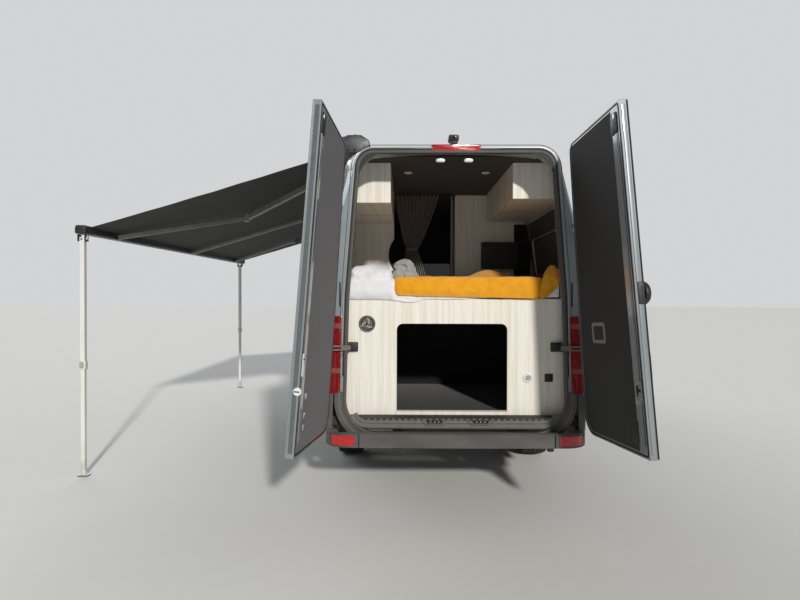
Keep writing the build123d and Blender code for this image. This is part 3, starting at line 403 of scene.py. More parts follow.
awning_cloth = Finish("awning_cloth", (40, 41, 29), 0.8, Sheen_Weight=0.05)
awning_cloth.mottle((31, 32, 22), 0.42, 0.7, 0.5, 0.04, (12, 1, 1), 5)
awning_cloth.mottle((48, 49, 35), 0.4, 0.7, 0.4, 0.5)
awning_cloth.weave(0.006, 0.0006)

lamp_white = Finish("lamp_white", (244, 244, 240), 0.25, Coat_Weight=0.5, slot="lamp_clear")
lamp_white.tint(lamp_white.step(lamp_white.cells(0.006), 0.2, 0.5, 0, 0.4), (206, 208, 210))
lamp_white.relief(lamp_white.cells(0.006), 0.0006)
mirror_glass = Finish("mirror_glass", (200, 205, 208), 0.03, Metallic=1.0, slot="glass")
mirror_glass.mottle((150, 154, 156), 0.5, 0.8, 0.3, 0.05, detail=5)
amber = Finish("lamp_amber", (226, 120, 18), 0.15, Coat_Weight=1.0, slot="lamp_clear")
amber.relief(amber.waves("Z", 0.008), 0.0006)
plate = Finish("blank_plate", (232, 232, 226), 0.35, 0.001, Coat_Weight=0.4, slot="lamp_clear")
plate.mottle((202, 200, 190), 0.5, 0.8, 0.4, 0.05, detail=5)
plate.relief(plate.cells(0.002), 0.00005)

seal_grey = Finish("seal_grey", (78, 77, 74), 0.6, slot="rubber_tyre")
seal_grey.mottle((92, 91, 86), 0.45, 0.75, 0.5, 0.03, detail=5)
seal_grey.grain(0.0004, 0.004)
# The frame's ridge: the body paint made lighter, a painted highlight along it.
ridge_painted_highlight = Finish("frame_ridge", (158, 164, 168), 0.32, 0.002, Metallic=0.25, slot="body_paint")
ridge_painted_highlight.mottle((134, 140, 144), 0.45, 0.75, 0.4, 0.04, (1, 1, 6), 5)
ridge_painted_highlight.grain(0.0001, 0.004)
sill_grey = Finish("sill_grey", (104, 102, 96), 0.7, 0.002, slot="bumper_plastic")
sill_grey.mottle((86, 84, 79), 0.42, 0.72, 0.5, 0.05, (1, 1, 3), 5)
sill_grey.grain(0.0002, 0.003)
strap_metal = Finish("strap_metal", (112, 108, 100), 0.5, 0.002, Metallic=0.6, slot="wheel_steel")
strap_metal.mottle((66, 62, 56), 0.45, 0.75, 0.5, 0.01, detail=5)
strap_metal.grain(0.0002, 0.003)
ribbed = Finish("ribbed_seal", (96, 101, 104), 0.7, slot="rubber_tyre")
ribbed.mottle((74, 78, 80), 0.45, 0.75, 0.5, 0.02, detail=5)
ribbed.relief(ribbed.waves("Z", 0.011), 0.0016)
handle_grey = Finish("handle_grey", (132, 130, 122), 0.6, 0.002, slot="cab_plastic")
handle_grey.mottle((108, 106, 99), 0.45, 0.7, 0.4, 0.02, detail=5)
handle_grey.grain(0.0002, 0.003)
strip_paint = Finish("strip_paint", (186, 187, 178), 0.5, 0.002, slot="body_paint")
strip_paint.mottle((160, 162, 155), 0.45, 0.7, 0.5, 0.05, detail=5)
strip_paint.grain(0.0001, 0.006)

# The solids' finishes: by the record's slots, and by node where a piece differs from its slot

slot_finishes = {**finishes, "glass": glass, "rubber_tyre": tyre_rubber, "awning_aluminium": anthracite}
node_finishes = {
    "side_windows": dark_glass,
    # The ceiling wears the near-black carpet, as painted shade.
    "ceiling_lining": dark_carpet,
    # The left door's lining wears the lighter copy of the carpet, as painted sunlight.
    "rear_lining_left": sunlit_carpet_copy,
    "awning_arms": arm_metal,
    "television": dark_plastic,
}
for end in leg_ys:
    node_finishes[f"awning_leg_{end}"] = leg_white
    node_finishes[f"awning_foot_{end}"] = leg_white
for part in frame["record"]["subparts"]:
    name = part["node"]
    if name not in nodes:
        continue
    finish = node_finishes.get(name) or slot_finishes[part["material_slot"]]
    mesh = nodes[name].data
    if len(mesh.materials) == 0:
        mesh.materials.append(finish.material)
    for index in range(len(mesh.materials)):
        mesh.materials[index] = finish.material


# Shapes

sharp_edge = math.radians(35)


def piece(name, points, faces, finish, body="van", slot=None):
    """A mesh piece from points in the row frame, smooth except at sharp edges."""
    mesh = bpy.data.meshes.new(name)
    mesh.from_pydata([tuple(point) for point in points], [], faces)
    made = bmesh.new()
    made.from_mesh(mesh)
    bmesh.ops.remove_doubles(made, verts=made.verts, dist=1e-6)
    bmesh.ops.recalc_face_normals(made, faces=made.faces)
    for edge in made.edges:
        edge.smooth = len(edge.link_faces) == 2 and edge.calc_face_angle(0) < sharp_edge
    for face in made.faces:
        face.smooth = True
    made.to_mesh(mesh)
    made.free()
    mesh.materials.append(finish.material)
    created = bpy.data.objects.new(name, mesh)
    bpy.context.scene.collection.objects.link(created)
    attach(created, body)
    slot or finish.slot
    return created


def rings_piece(name, rings, finish, closed=False, **options):
    """Rings of as many points each, joined to one another, with flat ends unless it is closed."""
    size = len(rings[0])
    count = len(rings)
    points = [point for ring in rings for point in ring]
    faces = []
    for index in range(count if closed else count - 1):
        here = index * size
        there = ((index + 1) % count) * size
        for step in range(size):
            after = (step + 1) % size
            faces.append((here + step, here + after, there + after, there + step))
    if not closed:
        faces.append(tuple(range(size)))
        faces.append(tuple(range((count - 1) * size, count * size)))
    return piece(name, points, faces, finish, **options)


def skin_sweep(name, spots, profile, finish, closed=False, **options):
    """A profile carried along spots, each a place and the direction it faces.

    Each profile point is (to the side, out along that direction).
    """
    rings = []
    count = len(spots)
    for index, (place, facing) in enumerate(spots):
        before = spots[index - 1][0] if closed or index > 0 else place
        after = spots[(index + 1) % count][0] if closed or index < count - 1 else place
        along = (after - before).normalized()
        side = along.cross(facing).normalized()
        up = side.cross(along).normalized()
        rings.append([place + side * a + up * b for a, b in profile])
    return rings_piece(name, rings, finish, closed, **options)


def sweep(name, path, profile, facing, finish, closed=False, **options):
    """A profile carried along a path that faces one way."""
    return skin_sweep(name, [(place, facing) for place in path], profile, finish, closed, **options)


def rounded(corners, steps=8):
    """A closed outline from corners given as (a, b, radius)."""
    outline = []
    count = len(corners)
    for index, (a, b, radius) in enumerate(corners):
        corner = Vector((a, b))
        before = (Vector(corners[index - 1][:2]) - corner).normalized()
        after = (Vector(corners[(index + 1) % count][:2]) - corner).normalized()
        half = before.angle(after) / 2
        centre = corner + (before + after).normalized() * (radius / math.sin(half))
        reach = radius / math.tan(half)
        start = corner + before * reach - centre
        end = corner + after * reach - centre
        first = math.atan2(start.y, start.x)
        turn = (math.atan2(end.y, end.x) - first + math.pi) % (2 * math.pi) - math.pi
        for step in range(steps + 1):
            here = first + turn * step / steps
            outline.append(centre + Vector((math.cos(here), math.sin(here))) * radius)
    return outline


def oblong(x, z, width, height, radius, steps=4):
    """A rectangle with rounded corners about a middle."""
    a, b = width / 2, height / 2
    corners = ((x - a, z - b), (x + a, z - b), (x + a, z + b), (x - a, z + b))
    return rounded([(*corner, radius) for corner in corners], steps)


def tapered(middle, low, high, low_half, high_half, low_radius, high_radius, steps=4):
    """A symmetric outline with level ends of different widths and rounded corners."""
    low_end = [(middle - low_half, low, low_radius), (middle + low_half, low, low_radius)]
    high_end = [(middle + high_half, high, high_radius), (middle - high_half, high, high_radius)]
    return rounded(low_end + high_end, steps)


def even(*half):
    """Points of a symmetric shape from its right half: the left ones come first."""
    return [(-a, *rest) for a, *rest in half] + list(reversed(half))


def stud(radius, rise, top_radius, top, foot=0):
    """The profile of a round head whose rim is chamfered."""
    return [(0, foot), (radius, foot), (radius, rise), (top_radius, top), (0, top)]


def oval(half_width, half_height, shift=0.0):
    """Ten points of an oval profile."""
    turns = [step * math.pi / 5 for step in range(10)]
    return [(half_width * math.cos(turn), shift + half_height * math.sin(turn)) for turn in turns]


def slab(name, outline, place, across, up, thickness, finish, bevel=0.002, **options):
    """A plate with rounded edges: its outline is drawn from a place along two directions."""
    out = across.cross(up).normalized()
    middle = Vector((sum(a for a, b in outline), sum(b for a, b in outline))) / len(outline)
    rings = []
    steps = ((0, 0), (0, thickness - bevel), (bevel * 0.3, thickness - bevel * 0.3), (bevel, thickness))
    for inset, rise in steps:
        ring = []
        for a, b in outline:
            away = Vector((a, b)) - middle
            shrink = max(0.0, 1 - inset / max(away.length, 1e-6))
            spot = middle + away * shrink
            ring.append(place + across * spot.x + up * spot.y + out * rise)
        rings.append(ring)
    return rings_piece(name, rings, finish, **options)


def rear_plate(name, outline, y, thickness, finish, bevel=0.002, **options):
    """A plate that faces the rear, drawn from the van's centre line and the ground."""
    return slab(name, outline, at(0, y, 0), X, Z, thickness, finish, bevel, **options)


def hoop(name, outer, inner, place, across, up, thickness, finish, **options):
    """A flat plate with an opening in it."""
    out = across.cross(up).normalized() * thickness
    rings = []
    for (a, b), (c, d) in zip(outer, inner):
        first = place + across * a + up * b
        second = place + across * c + up * d
        rings.append([first, first + out, second + out, second])
    return rings_piece(name, rings, finish, closed=True, **options)


def box(name, low, high, finish, bevel=0.003, **options):
    """A block with rounded edges between two corners."""
    made = bmesh.new()
    bmesh.ops.create_cube(made, size=1.0)
    for vert in made.verts:
        vert.co = Vector([low[k] + (high[k] - low[k]) * (vert.co[k] + 0.5) for k in range(3)])
    bmesh.ops.bevel(made, geom=made.edges[:], offset=bevel, segments=3, affect="EDGES", profile=0.5)
    points = [vert.co.copy() for vert in made.verts]
    faces = [[vert.index for vert in face.verts] for face in made.faces]
    made.free()
    return piece(name, points, faces, finish, **options)


def lathe(name, profile, centre, axis, finish, steps=32, **options):
    """A round piece: profile points are (radius, along the axis)."""
    axis = axis.normalized()
    side = axis.orthogonal().normalized()
    other = axis.cross(side)
    rings = []
    for radius, rise in profile:
        ring = []
        for step in range(steps):
            turn = 2 * math.pi * step / steps
            out = side * math.cos(turn) + other * math.sin(turn)
            ring.append(centre + axis * rise + out * max(radius, 1e-5))
        rings.append(ring)
    return rings_piece(name, rings, finish, **options)


def apply_modifiers(created):
    """The piece keeps its worked-out mesh, and no modifier."""
    graph = bpy.context.evaluated_depsgraph_get()
    made = bpy.data.meshes.new_from_object(created.evaluated_get(graph))
    created.modifiers.clear()
    created.data = made
    for face in made.polygons:
        face.use_smooth = True


def grid_piece(name, count_u, count_v, surface, finish, thickness, **options):
    """A sheet through surface(u, v), with u and v from 0 to 1, thickened to both sides."""
    points = [surface(i / count_u, j / count_v) for j in range(count_v + 1) for i in range(count_u + 1)]
    row = count_u + 1
    starts = [j * row + i for j in range(count_v) for i in range(count_u)]
    faces = [(start, start + 1, start + row + 1, start + row) for start in starts]
    made = piece(name, points, faces, finish, **options)
    solid = made.modifiers.new("thickness", "SOLIDIFY")
    solid.thickness = thickness
    solid.offset = 0
    apply_modifiers(made)
    return made


def ripple(point, size, seed=0.0):
    """Smooth noise from -1 to 1 at a point."""
    return noise.noise(Vector((point[0] / size + seed, point[1] / size - seed, point[2] / size)))


def on_door(side, created):
    """Carries a piece that was drawn on the shut door to where the open door stands, and it rides there."""
    pivot = at(sides[side] * door_pivot[0], door_pivot[1], door_pivot[2])
    turn = Matrix.Rotation(math.radians(door_angles[side]), 4, Vector((-sides[side] * hinge_lean, 0, 1)))
    created.data.transform(Matrix.Translation(pivot) @ turn @ Matrix.Translation(-pivot))
    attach(created, f"rear_door_{side}")
    return created


# Rear opening: rubber seal; round the frame a drip channel and a groove, drawn as black strips of painted shade,
# and a ridge whose lighter paint is a painted highlight


def opening_ring(inset, radius):
    """The rear opening's outline, moved inwards, with a radius at its upper corners."""
    corners = [
        (opening_half, opening_low, 0.220),
        (opening_middle_half, opening_middle, 0.100),
        (opening_top_half, opening_top, radius),
    ]
    right = [(x - inset, z + (inset if z < 1 else -inset if z > 2 else 0), turn) for x, z, turn in corners]
    left = [(-x, z, turn) for x, z, turn in reversed(right)]
    return rounded([left[-1], *right, *left[:-1]], 12)


opening_path = [at(a, 0, b) for a, b in opening_ring(0, 0.105)]
seal_profile = [(-0.004, -0.030), (-0.004, 0.001), (-0.003, 0.005), (0.002, 0.0072), (0.010, 0.0068)]
seal_profile += [(0.017, 0.004), (0.019, 0.0), (0.004, -0.002), (0.0, -0.030)]
sweep("opening_seal", opening_path, seal_profile, -Y, seal_grey, closed=True)


def frame_strip(name, shift, half, rise, finish):
    """A strip up one side of the opening, over the top and down the other side."""
    foot = 0.95
    foot_x = opening_half - (foot - opening_low) * 0.031
    ring = [point for point in opening_path if point.z > foot]
    start = [k for k in range(len(ring)) if (ring[k] - ring[k - 1]).length > 1.2 and ring[k].x > origin_x]
    ring = ring[start[0] :] + ring[: start[0]] if start else ring
    profile = [(shift + a, b) for a, b in even((half, -0.001), (half * 0.6, rise * 0.8))]
    profile.insert(2, (shift, rise))
    sweep(name, [at(foot_x, 0, foot), *ring, at(-foot_x, 0, foot)], profile, -Y, finish)


# The channel and the groove are black strips whose darkness is the painted shade in them; the ridge's lighter
# paint is a painted highlight.
frame_strip("frame_channel", 0.023, 0.005, 0.002, rubber)
frame_strip("frame_ridge", 0.034, 0.006, 0.0042, ridge_painted_highlight)
frame_strip("frame_groove", 0.052, 0.0025, 0.001, rubber)

# Black lip inside the seal, widened in the upper corners as painted shade of the dark inside, covers of the
# lower corners, inner ends of the lamps, brake lamp and rear camera

# The lip's outline has tight upper corners outside and wide ones inside, so its black fills those corners as
# painted shade.
lip_outer, lip_inner = opening_ring(-0.003, 0.108), opening_ring(0.002, 0.202)
hoop("opening_lip_and_corner_shade", lip_outer, lip_inner, at(0, 0.001, 0), X, Z, 0.003, rubber)
cover_profile = [(0.018, -0.001), (0.018, 0.003), (0.074, 0.0035), (0.079, -0.001)]
channel_profile = [(0.036, 0.002), (0.040, 0.0046), (0.049, 0.0046), (0.053, 0.002)]
lens_corners = [(0.800, 0.834, 0.006), (0.846, 0.834, 0.004), (0.826, 1.368, 0.004), (0.788, 1.368, 0.008)]
lens_outline = rounded(lens_corners, 4)
for side, sign in sides.items():
    corner = [spot for spot in opening_ring(0, 0.105) if spot[0] * sign > 0 and spot[1] < 0.8]
    corner.insert(0 if sign < 0 else len(corner), Vector((sign * (opening_half - 0.0085), 0.845)))
    path = [at(a, 0, b) for a, b in corner]
    sweep(f"corner_cover_{side}", path, cover_profile, -Y, bumper)
    sweep(f"corner_channel_{side}", path, channel_profile, -Y, sill_grey)
    lens = [(a * sign, b) for a, b in lens_outline][::sign]
    rear_plate(f"lamp_inner_end_{side}", lens, 0.001, 0.0055, lamp_red)
    frame_slot = oblong(sign * 0.802, 1.520, 0.011, 0.170, 0.005)
    rear_plate(f"frame_slot_{side}", frame_slot, 0.001, 0.003, rubber, 0.0008)
brake_outline = tapered(0, 2.514, 2.551, 0.172, 0.160, 0.006, 0.010)
rear_plate("brake_lamp_lens", brake_outline, 0.020, 0.0245, lamp_red, 0.005)
brake_rim = tapered(0, 2.509, 2.557, 0.182, 0.168, 0.006, 0.012)
rear_plate("brake_lamp_rim", brake_rim, 0.024, 0.025, dark_plastic, 0.004)
view_camera_x = -0.014
neck = oblong(view_camera_x, 2.584, 0.048, 0.048, 0.012, 5)
rear_plate("view_camera_neck", neck, 0.080, 0.050, dark_plastic, 0.006)
cap = oblong(view_camera_x, 2.612, 0.072, 0.040, 0.012, 5)
rear_plate("view_camera_cap", cap, 0.105, 0.085, dark_plastic, 0.008)
eye = [(0, 0), (0.012, 0), (0.012, 0.003), (0.008, 0.004), (0, 0.002)]
lathe("view_camera_eye", eye, at(view_camera_x, 0.0205, 2.610), -Y, dark_glass, 24)

# Rear sill: ends of the floor's ribs, painted lip with the two lower strikers, stepped cover and bumper edge

for number in range(31):
    rib = tapered(-0.645 + number * 0.043, 0.646, 0.659, 0.011, 0.008, 0.003, 0.002, 3)
    rear_plate(f"floor_rib_{number:02d}", rib, 0.006, 0.0035, sill_grey, 0.001)
sill_profile = [(0.0, -0.004), (0.0, 0.0), (0.010, 0.004), (0.018, 0.0045), (0.022, 0.0015), (0.034, 0.0015)]
sill_profile += [(0.038, 0.004), (0.052, 0.0045), (0.057, 0.0), (0.057, -0.004)]
sill_spots = even((0.685, 0.700), (0.668, 0.668), (0.640, 0.650), (0.600, 0.645))
sweep("sill_lip", [at(a, 0.004, b) for a, b in sill_spots], sill_profile, -Y, sill_grey)
striker_rim = even((0.098, 0.650, 0.004), (0.064, 0.614, 0.016))
striker_rim += even((0.082, 0.650, 0.002), (0.056, 0.624, 0.010))[::-1]
for number, middle in enumerate((-0.144, 0.175)):
    rim = rounded([(middle + a, b, radius) for a, b, radius in striker_rim], 4)
    rear_plate(f"striker_rim_{number}", rim, 0.001, 0.007, sill_grey, 0.001)
    striker_plate = tapered(middle, 0.628, 0.648, 0.050, 0.062, 0.004, 0.004, 3)
    rear_plate(f"striker_plate_{number}", striker_plate, 0.002, 0.004, rubber, 0.001)
    for shift in (-0.028, 0.0, 0.028):
        place = at(middle + shift, -0.001, 0.637)
        bolt = stud(0.006, 0.003, 0.004, 0.005)
        lathe(f"striker_bolt_{number}_{shift + 1:.3f}", bolt, place, -Y, bright_metal, 12)
for number, sign in enumerate((-1, 1)):
    low, high = at(sign * 0.660 - 0.002, -0.1345, 0.492), at(sign * 0.660 + 0.002, -0.120, 0.579)
    box(f"bumper_joint_{number}", low, high, rubber, 0.001)
tread = even((0.006, -0.001), (0.005, 0.0025))
for number, y in enumerate((-0.060, -0.048, -0.036, -0.024, -0.012)):
    sweep(f"step_rib_{number}", [at(-0.62, y, 0.558), at(0.62, y, 0.558)], tread, Z, bumper)
tow_profile = [(0, 0), (0.020, 0), (0.024, 0.004), (0.024, 0.028), (0.020, 0.032), (0, 0.032)]
lathe("tow_cover", tow_profile, at(0.640, -0.070, 0.488), -Z, dark_plastic, 24)

# Check straps: slotted arms that ride on the doors, and their housings on the board

strap_z = 1.150
# A flat black shape just below each check arm.
dark_shape_corners = [(-0.036, 0.0, 0.004), (0.036, 0.0, 0.004), (0.018, -0.040, 0.008), (-0.010, -0.034, 0.006)]
dark_shape = rounded(dark_shape_corners, 3)
for side, sign in sides.items():
    along = (X * -sign + Y * 0.24).normalized()
    root = at(sign * 0.872, -0.040, strap_z)
    arm = oblong(0.075, 0, 0.150, 0.036, 0.012)
    slot_in_arm = oblong(0.052, 0, 0.060, 0.012, 0.005)
    body = f"rear_door_{side}"
    hoop(f"check_arm_{side}", arm, slot_in_arm, root, along, Z, 0.006 * -sign, strap_metal, body=body)
    lathe(f"check_pin_{side}", stud(0.009, 0.022, 0.006, 0.025, -0.022), root, Z, strap_metal, 16, body=body)
    low = at(sign * 0.728 - 0.043, 0.096, strap_z - 0.036)
    high = at(sign * 0.728 + 0.043, 0.122, strap_z + 0.030)
    box(f"check_housing_{side}", low, high, dark_plastic, 0.006)
    low = at(sign * 0.748 - 0.014, -0.006, strap_z - 0.024)
    high = at(sign * 0.748 + 0.014, 0.104, strap_z + 0.022)
    box(f"check_sleeve_{side}", low, high, rubber, 0.005, slot="bumper_plastic")
    slab(f"check_dark_shape_{side}", dark_shape, at(sign * 0.790, 0.004, strap_z - 0.024), X, Z, 0.0072, rubber)

# Board: round vent with curved fins, socket, cover plate, edging of the boot opening

vent = at(-0.622, board_face, 1.310)
vent_ring = [(0.046, 0.004), (0.047, 0.009), (0.054, 0.010), (0.059, 0.007), (0.060, 0.0), (0.046, 0.0)]
lathe("vent_ring", vent_ring, vent, -Y, strap_metal, 48, slot="awning_aluminium")
vent_bowl = [(0.0, 0.001), (0.045, 0.001), (0.045, 0.005), (0.040, 0.006), (0.036, 0.003), (0.0, 0.003)]
lathe("vent_bowl", vent_bowl, vent, -Y, dark_plastic, 48)
fin = even((0.005, -0.003), (0.004, 0.002))
for number in range(3):
    curve = []
    for step in range(9):
        reach = 0.006 + 0.036 * step / 8
        turn = math.radians(120 * number + 20 + 70 * step / 8)
        curve.append(vent + X * reach * math.cos(turn) + Z * reach * math.sin(turn) - Y * 0.006)
    sweep(f"vent_fin_{number}", curve, fin, -Y, grey_cloth, slot="awning_aluminium")
lathe("vent_knob", stud(0.009, 0.009, 0.006, 0.011, 0.002), vent, -Y, dark_plastic, 20)
socket = at(0.527, board_face, 0.927)
socket_ring = [(0.019, 0.002), (0.021, 0.010), (0.033, 0.008), (0.037, 0.004), (0.037, 0.0), (0.019, 0.0)]
lathe("socket_ring", socket_ring, socket, -Y, lamp_white, 40)
lathe("socket_lid", stud(0.019, 0.005, 0.014, 0.0065), socket, -Y, grey_cloth, 32, slot="lamp_clear")
box("cover_plate", at(0.646, 0.112, 0.898), at(0.704, 0.121, 0.956), dark_plastic)
box("cover_key", at(0.660, 0.109, 0.912), at(0.690, 0.113, 0.942), dark_plastic, 0.0015)
boot_corners = [(-0.410, 0.690, 0.002), (0.380, 0.690, 0.002), (0.380, 1.312, 0.045), (-0.410, 1.312, 0.045)]
boot_outline = rounded(boot_corners, 6)
edging = [(-0.0004, -0.009), (-0.0004, 0.010), (0.0006, 0.0105), (0.0016, 0.010), (0.0016, -0.009)]
sweep("boot_edging", [at(a, 0.129, b) for a, b in boot_outline], edging, -Y, board, closed=True)

# Soft goods on the bed


def swell(created, voxel, cap, pressure):
    """Swells a closed piece like a stuffed cushion by a cloth simulation, then smooths it."""
    remesh = created.modifiers.new("remesh", "REMESH")
    remesh.mode = "VOXEL"
    remesh.voxel_size = voxel
    apply_modifiers(created)
    start = [vert.co.copy() for vert in created.data.vertices]
    cloth = created.modifiers.new("cloth", "CLOTH")
    cloth.settings.use_pressure = True
    cloth.settings.uniform_pressure_force = pressure
    cloth.settings.effector_weights.gravity = 0
    for number in range(1, 21):
        bpy.context.scene.frame_set(number)
    apply_modifiers(created)
    bpy.context.scene.frame_set(1)
    for vert, place in zip(created.data.vertices, start):
        move = vert.co - place
        if move.length > cap:
            vert.co = place + move.normalized() * cap
    smooth = created.modifiers.new("smooth", "SUBSURF")
    smooth.levels = 1
    apply_modifiers(created)


def crumple(created, folds):
    """Moves each point by smooth noise: folds are (size, depth, seed)."""
    for vert in created.data.vertices:
        place = vert.co
        shift = Vector((0, 0, 0))
        for size, depth, seed in folds:
            shift += Vector([ripple(place, size, seed + later) for later in (0, 7, 13)]) * depth
        vert.co = place + shift
    created.data.update()


mattress = box("bed_mattress", at(-0.738, 0.140, 1.494), at(0.738, 1.440, 1.612), bedding, 0.02)
swell(mattress, 0.024, 0.010, 3.0)
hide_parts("mattress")


def sheet_surface(u, v):
    """The bottom sheet: its hem hangs over the board's edge, and it runs up and over the mattress."""
    upright = 0.165
    x = -0.742 + 1.484 * u
    run = v * (upright + 1.300)
    hem = 1.488 + 0.004 * ripple((x, 0, 0), 0.11, 3) + 0.002 * ripple((x, 0, 0), 0.03, 5)
    hem += 0.05 * min(0.3, max(0.0, x - 0.05))
    if run < upright:
        share = run / upright
        y = 0.112 + 0.006 * ripple((x, run, 0), 0.07, 1) - 0.006 * math.sin(math.pi * share)
        z = hem + (1.622 - hem) * share
    else:
        y = 0.112 + (run - upright)
        z = 1.633
    corner = max(0.0, 1 - abs(run - upright) / 0.03)
    y += 0.006 * corner
    z -= 0.008 * corner
    if run > 0.2:
        z += 0.004 * ripple((x, run, 0), 0.12, 2)
    return at(x, y, z)


bed_sheet = grid_piece("bed_sheet", 120, 110, sheet_surface, bedding, 0.003)

duvet = box("duvet", at(-0.756, 0.125, 1.512), at(-0.440, 0.930, 1.716), bedding, 0.04)
for vert in duvet.data.vertices:
    if vert.co.z > 1.6:
        vert.co.z -= 0.035 * max(0.0, (vert.co.y - origin_y - 0.4) / 0.5)
swell(duvet, 0.012, 0.022, 4.0)
crumple(duvet, ((0.13, 0.014, 1), (0.05, 0.006, 4), (0.022, 0.0025, 9)))
duvet_reach = at(-0.778, 0.098, 0)
for vert in duvet.data.vertices:
    vert.co.x = max(vert.co.x, duvet_reach.x)
    vert.co.y = max(vert.co.y, duvet_reach.y)


def duvet_hem_surface(u, v):
    """The duvet's front edge, which slumps over the board."""
    x = -0.770 + 0.575 * u
    low = 1.486 - 0.022 * math.exp(-(((x + 0.32) / 0.10) ** 2)) + 0.0025 * ripple((x, 0, 0), 0.05, 6)
    low += 0.034 * max(0.0, (x + 0.27) / 0.075) ** 2
    z = low + (1.625 - low) * v
    puff = min(1.0, max(0.0, (-0.415 - x) / 0.03))
    bulge = 0.022 * math.sin(math.pi * min(1.0, v * 1.15)) ** 0.7
    y = 0.113 - bulge * puff + (0.001 + 0.004 * puff) * ripple((x, 0, z), 0.05, 8)
    return at(x, min(y, 0.1165), z)


duvet_hem = grid_piece("duvet_hem", 60, 26, duvet_hem_surface, bedding, 0.008)


def throw_surface(u, v):
    """The plush throw: down the mattress's front and back over its top, with a mound and soft ends."""
    x = -0.420 + 1.030 * u
    front = 0.155
    run = v * (front + 0.86)
    turned = max(0.0, 1 - u / 0.030, (u - 0.976) / 0.024)
    low = 1.516 - 0.024 * u + 0.0025 * ripple((x, 0, 0), 0.16, 2) + 0.024 * turned**2
    high = 1.638 + 0.006 * ripple((x, 0, 0), 0.15, 12) + 0.004 * ripple((x, 0, 0), 0.05, 3)
    high -= 0.022 * turned**2
    if run < front:
        share = run / front
        y = 0.097 - 0.007 * math.sin(math.pi * share)
        y += 0.006 * ripple((x, 0, run), 0.09, 5) + 0.003 * ripple((x, 0, run), 0.035, 9)
        z = low + (high - 0.014 - low) * share
    else:
        back = run - front
        y = 0.098 + back
        z = high - 0.014 + 0.023 * (1 - math.exp(-back / 0.020))
        z += 0.005 * ripple((x, back, 0), 0.10, 8) + 0.004 * ripple((x, 0, 0), 0.07, 21)
        z += 0.070 * math.exp(-(((x - 0.34) / 0.155) ** 2) - ((back - 0.62) / 0.11) ** 2)
        z = max(z, 1.639)
    ends = max(0.0, 1 - u / 0.02) + max(0.0, (u - 0.985) / 0.015)
    return at(x, y + 0.008 * ends, z)


def flap_surface(u, v):
    """The throw's turned-up corner, a leaf that leans to the right."""
    lean, bend = 0.170 * v - 0.085 * v * v, 0.16 * max(0.0, v - 0.62) ** 1.2
    middle = Vector((0.617 + lean, 0.088 + bend, 1.492 + 0.236 * v))
    half = 0.006 + 0.061 * math.sin(math.pi * min(1.0, v**1.25)) ** 0.7
    side = (u - 0.5) * 2
    place = middle + Vector((0.98, 0.05, -0.06)) * (side * half)
    place.y += 0.010 * side * side - 0.006 * ripple((place.x, 0, place.z), 0.05, 2)
    return at(place.x, place.y, place.z)


throw = grid_piece("bed_throw", 150, 130, throw_surface, throw_cloth, 0.011)
flap = grid_piece("throw_flap", 26, 44, flap_surface, throw_cloth, 0.013)
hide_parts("throw")

curtain_top = 2.492
tie_x = -0.286
tie_z = 1.955


def curtain_surface(u, v):
    """Curtain gathered at its tie: pleats that draw together and spread again."""
    z = curtain_top - 0.862 * v
    if z > tie_z:
        share = (z - tie_z) / (curtain_top - tie_z)
        middle = tie_x + 0.046 * share**0.8
        half = 0.046 + 0.174 * share**0.75
    else:
        share = (tie_z - z) / (tie_z - 1.63)
        middle = tie_x + 0.02 * share
        half = 0.046 + 0.085 * share**0.7
    pleats = 11
    depth = 0.010 + 0.016 * min(1.0, half / 0.2)
    turn = u * 2 * math.pi * pleats
    x = middle + half * (2 * u - 1) + 0.25 * half / pleats * math.sin(turn * 2 + 0.5)
    y = 1.545 + depth * math.sin(turn) + 0.006 * ripple((x, 0, z), 0.09, 4)
    y -= 0.015 * (1 - (2 * u - 1) ** 2) * math.exp(-(((z - tie_z) / 0.06) ** 2))
    return at(x, y, z)


curtain = grid_piece("hanging_curtain", 264, 70, curtain_surface, curtain_cloth, 0.0018)
tie_path = []
for step in range(24):
    turn = step * math.pi / 12
    along, across = math.cos(turn), math.sin(turn)
    tie_path.append(at(tie_x + 0.058 * along, 1.538 + 0.034 * across, tie_z + 0.006 * along))
tie_profile = [(-0.002, -0.016), (-0.002, 0.016), (0.002, 0.016), (0.002, -0.016)]
tie = sweep("curtain_tie", tie_path, tie_profile, Z, curtain_cloth, closed=True)
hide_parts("curtain")
rod = [(0, 0), (0.007, 0), (0.007, 0.61), (0, 0.61)]
lathe("curtain_rod", rod, at(-0.470, 1.545, 2.482), X, dark_plastic, 16, slot="curtain_cloth")

bunch = box("folded_towel", at(-0.480, 1.250, 1.645), at(-0.235, 1.430, 1.835), grey_cloth, 0.045)
towel_middle = at(-0.362, 0, 0).x
for vert in bunch.data.vertices:
    if vert.co.z > 1.74:
        vert.co.x = towel_middle + (vert.co.x - towel_middle) * 0.55
swell(bunch, 0.010, 0.014, 3.0)
crumple(bunch, ((0.08, 0.034, 2), (0.035, 0.014, 5), (0.012, 0.002, 8)))
for vert in bunch.data.vertices:
    vert.co.z = max(vert.co.z, 1.640)

# Boot and bed room: near-black carpet on the boot's back wall as painted shade and on its floor, a dark return
# beside the screen, and the trim on the wardrobe's edge

box("boot_back_painted_shade", at(-0.755, 1.428, 0.668), at(0.755, 1.4385, 1.455), dark_carpet, 0.002)
box("boot_mat", at(-0.760, 0.142, 0.6615), at(0.760, 1.440, 0.6675), dark_carpet, 0.002)
box("wall_return", at(0.716, 1.588, 1.640), at(0.874, 1.5985, 2.204), dark_carpet, 0.002)
box("wardrobe_trim", at(0.100, 1.592, 1.480), at(0.112, 1.5995, 2.480), grey_cloth, 0.001, slot="board")

# Lamps in the header and the ceiling

